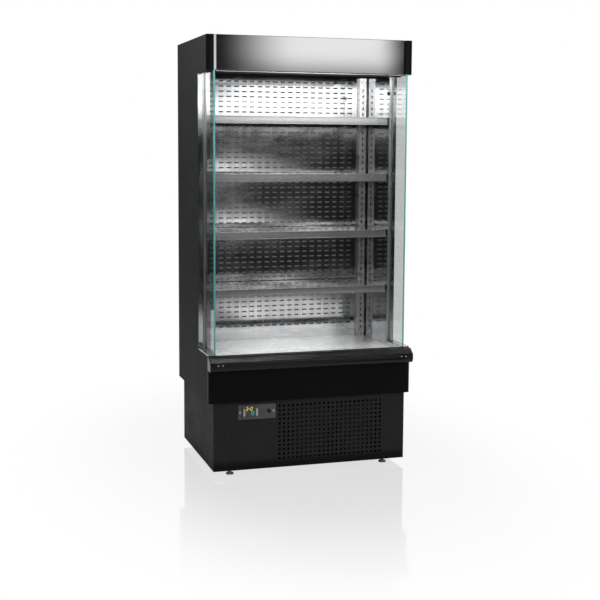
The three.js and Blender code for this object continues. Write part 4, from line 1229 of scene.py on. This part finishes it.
FLANGE_FOLD_Y, TRIM_FOLD_X = 0.2073, 0.4985
hemmed_strip(
    "deck_back_flange", (-0.4105, 0.1838, 0.5546), (0.4105, 0.2085, 0.5558),
    ((0, FLANGE_FOLD_Y, 0), (0, 1, 0)),
    lambda f: f.normal.z < -0.9 and f.calc_center_median().y > FLANGE_FOLD_Y, (0, 0, -0.008),
    "deck_tray", deck_steel)
for sign, side in ((-1, "left"), (1, "right")):
    inner, outer = sorted((sign * 0.4950, sign * 0.4999))
    hemmed_strip(
        "ledge_trim_" + side, (inner, -0.3000, 0.5755), (outer, -0.1135, 0.5766),
        ((sign * TRIM_FOLD_X, 0, 0), (1, 0, 0)),
        lambda f: f.normal.z > 0.9 and abs(f.calc_center_median().x) > TRIM_FOLD_X, (0, 0, 0.0012),
        "cabinet", deck_steel)
print("hemmed strips:", [n for n in made if "flange" in n or "ledge" in n])

# %% [markdown]
# ## The plinth
# The machine stands in a plinth of satin black sheet. Its front is a service panel
# with twenty-four by thirteen square air holes and two openings for the controls.
# Holes that are only drawn on would hide the machine, so the panel is pierced like
# the back panel, the openings are cut out, and the sheet is folded back along the
# floor.

# %% Plinth sides and floor
for side in ("left", "right"):
    plain_copy("plinth_side_" + side, plinth_paint, width=0.0012)
plain_copy("base_floor", zinc_plate, width=0.0008, segments=1)
print("plinth pieces:", [n for n in made if "plinth" in n or "base" in n])

# %% Service panel
AIR_PITCH, AIR_HOLE, AIR_CORNER, AIR_RIM = (0.022, 0.021), (0.0125, 0.0125), 0.0014, 0.0007
AIR_COUNTS, AIR_MIDDLE = (24, 13), (0.098, 0.197)
CUT_FRONT, CUT_REAR, BEZEL_LAP = -0.32, -0.30, 0.003
SWITCH_X, SWITCH_Z, SWITCH_HOLE = -0.208, 0.303, 0.0108
panel_low, panel_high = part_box("service_panel")
service = pierced_sheet(
    "service_panel_pierced", AIR_PITCH, AIR_HOLE, AIR_CORNER, AIR_RIM, AIR_COUNTS, AIR_MIDDLE,
    (panel_low.x, panel_high.x, panel_low.z, panel_high.z), panel_low.y)
control_low, control_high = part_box("temperature_controller")
cut_away(service, block("opening", (control_low.x + BEZEL_LAP, CUT_FRONT, control_low.z + BEZEL_LAP),
                        (control_high.x - BEZEL_LAP, CUT_REAR, control_high.z - BEZEL_LAP)))
cut_away(service, round_bar("opening", "Y", (SWITCH_X, SWITCH_Z), SWITCH_HOLE, CUT_FRONT, CUT_REAR))
fold = block("fold", (panel_low.x, panel_low.y + SHEET_T, panel_low.z),
             (panel_high.x, panel_high.y, panel_low.z + SHEET_T))
service = joined(service, fold)
settle_shading(service, 25)
keep(service, "service_panel", plinth_paint, ["service_panel"])
print("service panel faces:", made["service_panel_pierced"])

# %% Screws of the service panel
HEAD_GAP = 0.0002
service_spots = [(x, panel_low.y + HEAD_GAP, z) for x in (-0.378, 0.3765) for z in (0.045, 0.338)]
screws("service_screws", "service_panel", plinth_paint, TO_FRONT, service_spots)

# %% [markdown]
# ## The controls
# On the grey plate sit the temperature controller and a round rocker that works
# the lamp. The controller has a dark window with yellow digits and a small teal
# sign, between two light buttons.

# %% Plate, controller, buttons and switch
plain_copy("control_plate", plate_grey, body="service_panel", width=0.0008)
plain_copy("temperature_controller", plate_grey, body="service_panel", width=0.0006)
for side in ("left", "right"):
    button_name = "controller_button_" + side
    plain_copy(button_name, button_grey, body=button_name, width=0.0005)
plain_copy("lamp_switch", moulded_black, body="lamp_switch", width=0.0008)

print("controls:", [n for n in made if "control" in n or "switch" in n])

PLATE_Y, PLATE_SCREW = -0.3148, 1.3
plate_spots = [(-0.3480, PLATE_Y + HEAD_GAP, 0.303), (-0.1865, PLATE_Y + HEAD_GAP, 0.304)]
screws("plate_screws", "service_panel", button_grey, TO_FRONT, plate_spots, PLATE_SCREW)

# %% [markdown]
# The window is a thin plate set into the bezel, with round corners and a face that
# is sunk a hair inside its rim. Its digits could be a picture, but a picture blurs
# when it is seen close, so each is built of glowing bars.

# %% Window
BEZEL_Y, THROUGH = -0.3221, 1e-4


def window():
    piece = block("controller_window",
                  (-0.3225, BEZEL_Y - 0.0006, 0.2790), (-0.2755, BEZEL_Y + 0.0002, 0.3312))
    edit(piece)
    pick(piece, "EDGE", lambda e: span(e)[0].y > THROUGH)
    bpy.ops.mesh.bevel(offset=0.003, segments=4, affect="EDGES")
    pick(piece, "FACE", lambda f: f.normal.y < -0.9)
    bpy.ops.mesh.inset(thickness=0.0008)
    bpy.ops.transform.translate(value=(0, 0.0004, 0))
    leave()
    settle_shading(piece, 30)
    return keep(piece, "service_panel", display_window)


window()
print("window faces:", made["controller_window"])

# %% Digits of seven bars
LIT_BARS = {"3": "abgcd", "-": "g", "0": "abcdef"}
FLAT_BARS = {"a": (0, 0.5), "g": (0, 0), "d": (0, -0.5)}
TALL_BARS = {"b": (0.5, 0.25), "c": (0.5, -0.25), "f": (-0.5, 0.25), "e": (-0.5, -0.25)}
DIGIT_WIDE, BAR_THICK, BAR_SHORTER, DIGIT_GAP, DIGIT_LEAN = 0.5, 0.14, 1.15, 0.32, 0.12
BAR_HALF_DEPTH, BAR_POINT = 0.0002, 0.42


def digit_bar(middle, long, thick, flat):
    """One bar: a block whose ends are cut to points."""
    reach = Vector((long, 2 * BAR_HALF_DEPTH, thick) if flat else (thick, 2 * BAR_HALF_DEPTH, long)) / 2
    bar = block("bar", middle - reach, middle + reach)
    edit(bar)
    pick(bar, "EDGE", lambda e: span(e)[0].y > THROUGH)
    bpy.ops.mesh.bevel(offset=thick * BAR_POINT, segments=1, affect="EDGES")
    leave()
    return bar


def digits(name, signs, centre, height, body, glow):
    """The signs side by side round centre, leaning as such displays do."""
    wide, thick = height * DIGIT_WIDE, height * BAR_THICK
    step = wide * (1 + DIGIT_GAP)
    bars = []
    for i, sign in enumerate(signs):
        x = centre[0] + step * (i - (len(signs) - 1) / 2)
        for key in LIT_BARS[sign]:
            flat = key in FLAT_BARS
            u, v = (FLAT_BARS if flat else TALL_BARS)[key]
            long = (wide if flat else height / 2) - thick * BAR_SHORTER
            middle = Vector((x + u * wide, centre[1], centre[2] + v * height))
            bars.append(digit_bar(middle, long, thick, flat))
    piece = joined(*bars)
    piece.name = name
    for vertex in piece.data.vertices:
        vertex.co.x += DIGIT_LEAN * (vertex.co.z - centre[2])
    settle_shading(piece, 30)
    return keep(piece, body, glow)


digits("controller_digits", "3-0", (-0.3060, -0.3224, 0.3205), 0.0165, "service_panel", digit_yellow)
print("digit faces:", made["controller_digits"])

# %% Small sign and pilot light
def teal_sign():
    """A small lit sign, a block whose face is split into a frame and a raised
    middle, and beside it a round pilot light."""
    piece = block("controller_sign", (-0.2970, -0.3226, 0.2890), (-0.2810, -0.3222, 0.3090))
    edit(piece)
    pick(piece, "FACE", lambda f: f.normal.y < -0.9)
    bpy.ops.mesh.inset(thickness=0.0014)
    push((0, -0.0003, 0))
    leave()
    pilot = round_bar("pilot", "Y", (-0.3200, 0.3000), 0.0016, BEZEL_Y - 0.0008, BEZEL_Y - 0.0002, 16)
    ease_edges(pilot, 0.0002, 1)
    piece = joined(piece, pilot)
    settle_shading(piece, 30)
    return keep(piece, "service_panel", sign_teal)


teal_sign()
print("sign faces:", made["controller_sign"])

# %% [markdown]
# ## Feet and machine
# Four levelling feet are turned steel: a disc with a stepped top, and a threaded
# stem. The machine behind the grille is seen only through small holes, so it
# keeps its measured solids, with eased edges and finishes.

# %% Levelling feet
for end in ("front", "rear"):
    for side in ("left", "right"):
        name = "foot_%s_%s" % (end, side)
        plain_copy(name, zinc_plate, body=name, width=0.0012, name=name + "_turned")
print("feet:", [n for n in made if "foot" in n])

# %% [markdown]
# A folded baffle runs from the grille to the fan plate, so the fan draws its air
# through the coil and nowhere else. It is a block without a front or a floor, its
# back is cut open round the coil, and the walls get the thickness of the sheet.

# %% Condenser baffle
COIL_LEFT, COIL_RIGHT, COIL_TOP, BAFFLE_T = -0.118, 0.318, 0.299, 0.0010


def baffle():
    piece = block("condenser_baffle", (-0.1700, -0.3090, 0.0318), (0.3640, -0.2208, 0.3500))
    edit(piece)
    pick(piece, "FACE", lambda f: f.normal.y < -0.9 or f.normal.z < -0.9)
    bpy.ops.mesh.delete(type="FACE")
    cut_across((COIL_LEFT, 0, 0), (1, 0, 0))
    cut_across((COIL_RIGHT, 0, 0), (1, 0, 0))
    cut_across((0, 0, COIL_TOP), (0, 0, 1))

    def round_the_coil(face):
        centre = face.calc_center_median()
        return face.normal.y > 0.9 and COIL_LEFT < centre.x < COIL_RIGHT and centre.z < COIL_TOP

    pick(piece, "FACE", round_the_coil)
    bpy.ops.mesh.delete(type="FACE")
    leave()
    modify(piece, "SOLIDIFY", thickness=BAFFLE_T, offset=-1)
    settle_shading(piece, 40)
    return keep(piece, "cabinet", can_black)


baffle()
print("baffle faces:", made["condenser_baffle"])

# %% [markdown]
# The service panel lies against a narrow flange on each plinth side, which also
# closes the seam. It is a strip of sheet with its inner edge folded back.

# %% Panel stops
STOP_IN, STOP_OUT, STOP_FOLD = 0.374, 0.402, 0.375


def panel_stop(side):
    sign = 1 if side == "right" else -1
    low, high = sorted((sign * STOP_IN, sign * STOP_OUT))
    piece = block("panel_stop_" + side, (low, -0.3096, 0.0325), (high, -0.3086, 0.3480))
    edit(piece)
    cut_across((sign * STOP_FOLD, 0, 0), (1, 0, 0))
    pick(piece, "FACE", lambda f: f.normal.y > 0.9 and abs(f.calc_center_median().x) < STOP_FOLD + 0.0001)
    push((0, 0.012, 0))
    leave()
    ease_edges(piece, 0.0003, 1)
    settle_shading(piece, 30)
    return keep(piece, "cabinet", plinth_paint)


stops = [panel_stop(side) for side in ("left", "right")]
print("panel stops:", [stop.name for stop in stops])

# %% Machine parts
plain_copy("compressor", can_black, width=0.003, segments=3)
plain_copy("electrical_box", moulded_grey, width=0.002)
plain_copy("condensate_tray", moulded_black, body="condensate_tray", width=0.0015)
plain_copy("condenser_fan_shroud", coil_black, width=0.0006, segments=1)
plain_copy("condenser_fan_motor", moulded_black)
plain_copy("condenser_fan_blade", fan_grey, body="condenser_fan", width=0.0008, segments=1)
plain_copy("condenser_coil", coil_black, width=0.0004, segments=1)
plain_copy("evaporator_coil", fin_foil, width=0.0004, segments=1)
plain_copy("evaporator_fan_plate", zinc_plate, width=0.0004, segments=1)
for side in ("left", "right"):
    plain_copy("evaporator_fan_motor_" + side, moulded_black)
    plain_copy("evaporator_fan_blade_" + side, fan_grey, body="evaporator_fan_" + side,
               width=0.0006, segments=1)
bpy.data.objects.remove(screw_pattern, do_unlink=True)
print("solids still showing:", [n for n, o in nodes.items() if not o.hide_render])

# %% [markdown]
# ## The studio
# A pale floor, a white surround behind the cabinet, and a dim room in front of it:
# bright steel and gloss black show whatever stands around them, and here that is
# the key light on the right, a strip light beyond it, a few soft cards in front of
# the bays, and otherwise darkness. The white of floor and surround is for the eye
# and, behind the cabinet, for its mirrors and panes; it adds no light.

# %% Floor
FLOOR_RADIUS, FLOOR_PAPER = 5.3, 0.55
FLOOR_IOR, FLOOR_WHITE, FLOOR_MIRRORED = 1.66, 0.95, 0.3
PAPER_ENDS, SHADOW_SHAPE = (0.7, 2.0), (1.4, 0.9, 1.0)


def studio_floor():
    """Pale paper under a clear gloss: the eye sees mostly plain white paper, the
    cabinet's soft shadow on it, and its faint mirror image."""
    bpy.ops.mesh.primitive_circle_add(
        vertices=96, radius=FLOOR_RADIUS, fill_type="NGON", location=(0, 0, -0.0005))
    floor = bpy.context.object
    floor.name = "studio_floor"
    bpy.ops.object.transform_apply(location=True)
    material = bpy.data.materials.new("floor_paper")
    material.use_nodes = True
    tree = material.node_tree
    tree.nodes.remove(tree.nodes["Principled BSDF"])
    out = tree.nodes["Material Output"]
    where = add_node(tree, "ShaderNodeTexCoord").outputs["Object"]
    path = add_node(tree, "ShaderNodeLightPath")
    paper = add_node(tree, "ShaderNodeBsdfDiffuse")
    paper.inputs["Color"].default_value = (FLOOR_PAPER, FLOOR_PAPER, FLOOR_PAPER, 1.0)
    gloss = add_node(tree, "ShaderNodeBsdfGlossy")
    tree.links.new(spread(tree, noise(tree, where, 3.0), 0.3, 0.7, 0.06, 0.09), gloss.inputs["Roughness"])
    white = add_node(tree, "ShaderNodeEmission")

    def mixed(factor, first, second):
        both = add_node(tree, "ShaderNodeMixShader")
        for socket, value in zip(both.inputs, (factor, first, second)):
            if isinstance(value, float):
                socket.default_value = value
            else:
                tree.links.new(value, socket)
        return both.outputs[0]

    parts = add_node(tree, "ShaderNodeSeparateXYZ")
    tree.links.new(where, parts.inputs[0])
    behind = spread(tree, parts.outputs["Y"], -0.6, 0.4)
    mirrored_behind = math_node(tree, "MULTIPLY", path.outputs["Is Glossy Ray"],
                                math_node(tree, "MULTIPLY", behind, FLOOR_MIRRORED))
    seen = math_node(tree, "MAXIMUM", path.outputs["Is Camera Ray"], path.outputs["Is Transmission Ray"])
    seen = math_node(tree, "MAXIMUM", seen, mirrored_behind)
    shine = add_node(tree, "ShaderNodeFresnel")
    shine.inputs["IOR"].default_value = FLOOR_IOR
    lit = mixed(math_node(tree, "MULTIPLY", seen, FLOOR_WHITE), paper.outputs[0], white.outputs[0])
    glossy = mixed(shine.outputs[0], lit, gloss.outputs[0])
    distance = add_node(tree, "ShaderNodeVectorMath", operation="LENGTH")
    around = add_node(tree, "ShaderNodeVectorMath", operation="MULTIPLY")
    around.inputs[1].default_value = SHADOW_SHAPE
    tree.links.new(where, around.inputs[0])
    tree.links.new(around.outputs[0], distance.inputs[0])
    far = spread(tree, distance.outputs["Value"], *PAPER_ENDS)
    surface = mixed(math_node(tree, "MULTIPLY", seen, far), glossy, white.outputs[0])
    tree.links.new(surface, out.inputs["Surface"])
    floor.data.materials.append(material)
    return floor


floor = studio_floor()
print(floor.name, "is a stage piece and isn't exported")

# %% World
AMBIENT, DIM_FRONT = 0.85, 0.014
DIM_LEFT = (0.015, 0.60)


def studio_world():
    """White to the eye, an even soft light on the cabinet, and dim in mirrors except
    behind it and high on its left."""
    world = bpy.data.worlds.new("studio")
    bpy.context.scene.world = world
    world.use_nodes = True
    tree = world.node_tree
    background = tree.nodes["Background"]
    background.inputs["Color"].default_value = (1.0, 1.0, 1.0, 1.0)
    way = add_node(tree, "ShaderNodeTexCoord").outputs["Generated"]
    parts = add_node(tree, "ShaderNodeSeparateXYZ")
    tree.links.new(way, parts.inputs[0])
    back = spread(tree, parts.outputs["Y"], -0.15, 0.25)
    rightward = spread(tree, parts.outputs["X"], -0.24, -0.04)
    left_glow = spread(tree, parts.outputs["Z"], -0.10, 0.45, *DIM_LEFT)
    mirrored = math_node(tree, "MULTIPLY", back, math_node(tree, "MAXIMUM", rightward, left_glow))
    mirrored = math_node(tree, "MAXIMUM", mirrored, DIM_FRONT)
    path = add_node(tree, "ShaderNodeLightPath")
    unmirrored = math_node(tree, "LESS_THAN", path.outputs["Glossy Depth"], 0.5)
    through = math_node(tree, "MULTIPLY", path.outputs["Is Transmission Ray"], unmirrored)
    seen = math_node(tree, "MAXIMUM", path.outputs["Is Camera Ray"], through)
    glossy = math_node(tree, "MAXIMUM", path.outputs["Is Glossy Ray"], path.outputs["Is Transmission Ray"])
    in_mirrors = math_node(tree, "MULTIPLY", glossy, mirrored)
    elsewhere = math_node(tree, "MULTIPLY", math_node(tree, "SUBTRACT", 1.0, glossy), AMBIENT)
    soft = math_node(tree, "ADD", in_mirrors, elsewhere)
    strength = add_node(tree, "ShaderNodeMix", data_type="FLOAT")
    tree.links.new(seen, strength.inputs[0])
    tree.links.new(soft, strength.inputs[2])
    strength.inputs[3].default_value = 1.0
    tree.links.new(strength.outputs[0], background.inputs["Strength"])


studio_world()
print("even light:", AMBIENT, "dim front:", DIM_FRONT)

# %% [markdown]
# A plain area lamp shows a hard-edged oblong in bright steel. These fade towards
# their sides and ends, as light behind cloth does. Some are cards that stand in
# front of the cabinet: they add little light, and are there for the soft bands
# that the bays, the rails and the fascia show of them. Five others do the
# opposite. They light the left wall, the bays under the canopy, the deck, the duct
# and the rails, and are hidden from mirrors, where they would show as bright
# patches.

# %% Soft lamps
def soft_lamp(name, place, goal, size, watts, sides, ends, mirrored=True):
    """A rectangular softbox. Its light fades over the given shares of its width from
    its left and right sides, and of its height from its lower and upper ends."""
    bpy.ops.object.light_add(type="AREA", location=place)
    lamp_object = bpy.context.object
    lamp_object.name = name
    data = lamp_object.data
    data.shape = "RECTANGLE"
    data.size, data.size_y = size
    data.energy = watts
    aim = (Vector(goal) - Vector(place)).to_track_quat("-Z", "Y")
    lamp_object.rotation_euler = aim.to_euler()
    lamp_object.visible_camera = False
    lamp_object.visible_glossy = mirrored
    data.use_nodes = True
    tree = data.node_tree
    emission = tree.nodes["Emission"]
    across = add_node(tree, "ShaderNodeNewGeometry").outputs["Parametric"]
    parts = add_node(tree, "ShaderNodeSeparateXYZ")
    tree.links.new(across, parts.inputs[0])
    shares = []
    for axis, (low, high) in zip("XY", (sides, ends)):
        shares.append(spread(tree, parts.outputs[axis], 0.0, low))
        shares.append(spread(tree, parts.outputs[axis], 1.0 - high, 1.0, 1.0, 0.0))
    total = shares[0]
    for share in shares[1:]:
        total = math_node(tree, "MULTIPLY", total, share)
    tree.links.new(total, emission.inputs["Strength"])
    print(name, watts, "watts")
    return lamp_object


def facing_back(name, place, size, watts, sides, ends):
    """A softbox in front of the cabinet that looks straight at it."""
    return soft_lamp(name, place, (place[0], 0.0, place[2]), size, watts, sides, ends)


facing_back("key_softbox", (1.70, -5.5, 2.55), (1.84, 1.6), 46, (0.42, 0.17), (0.44, 0.10))
soft_lamp("strip_light", (3.25, -5.2, 2.0), (0.0, 0.0, 1.9), (0.30, 3.2), 12, (0.2, 0.2), (0.1, 0.1))

# %% Cards that show in the steel
facing_back("left_card", (-1.80, -5.5, 2.15), (1.3, 0.7), 11, (0.1, 0.1), (0.1, 0.1))
facing_back("bay_card", (1.53, -5.42, 1.91), (2.15, 0.26), 4.2, (0.05, 0.05), (0.12, 0.35))
facing_back("rail_card", (1.60, -5.5, 1.80), (2.3, 0.06), 2.0, (0.4, 0.4), (0.2, 0.2))
for low_z, power in ((1.31, 1.1), (0.77, 1.0)):
    facing_back("shelf_card", (1.35, -5.5, low_z), (1.3, 0.11), power, (0.1, 0.75), (0.2, 0.2))
soft_lamp("floor_card", (1.38, -4.45, 0.02), (1.38, -4.45, 3.0), (1.20, 1.7), 5, (0.12, 0.12), (0.12, 0.12))

# %% Lights that mirrors don't show
EVEN, WIDE = (0.2, 0.2), (0.3, 0.3)
soft_lamp("left_fill", (-1.15, -0.35, 2.55), (-0.5, 0.0, 1.9), (0.7, 0.7), 30, WIDE, WIDE, False)
soft_lamp("canopy_light", (0.0, -0.205, 1.867), (0.0, 1.0, 1.80), (0.84, 0.026), 17,
          (0.03, 0.03), (0.05, 0.05), False)
soft_lamp("deck_light", (-0.05, 0.03, 0.800), (-0.05, 0.03, 0.0), (0.76, 0.22), 1.3, EVEN, EVEN, False)
soft_lamp("duct_light", (0.0, 0.216, 1.20), (0.0, 1.0, 1.20), (0.86, 1.30), 1.4,
          (0.1, 0.1), (0.1, 0.1), False)
soft_lamp("rail_light", (-0.03, -0.55, 2.0), (-0.03, -0.11, 1.5), (0.70, 0.05), 10.0, (0.4, 0.4), EVEN, False)

# %% Sizes as plain lists, and a count of the pieces
def plain(box):
    return [[float(v) for v in corner] for corner in box]


print("pieces made:", len(made))
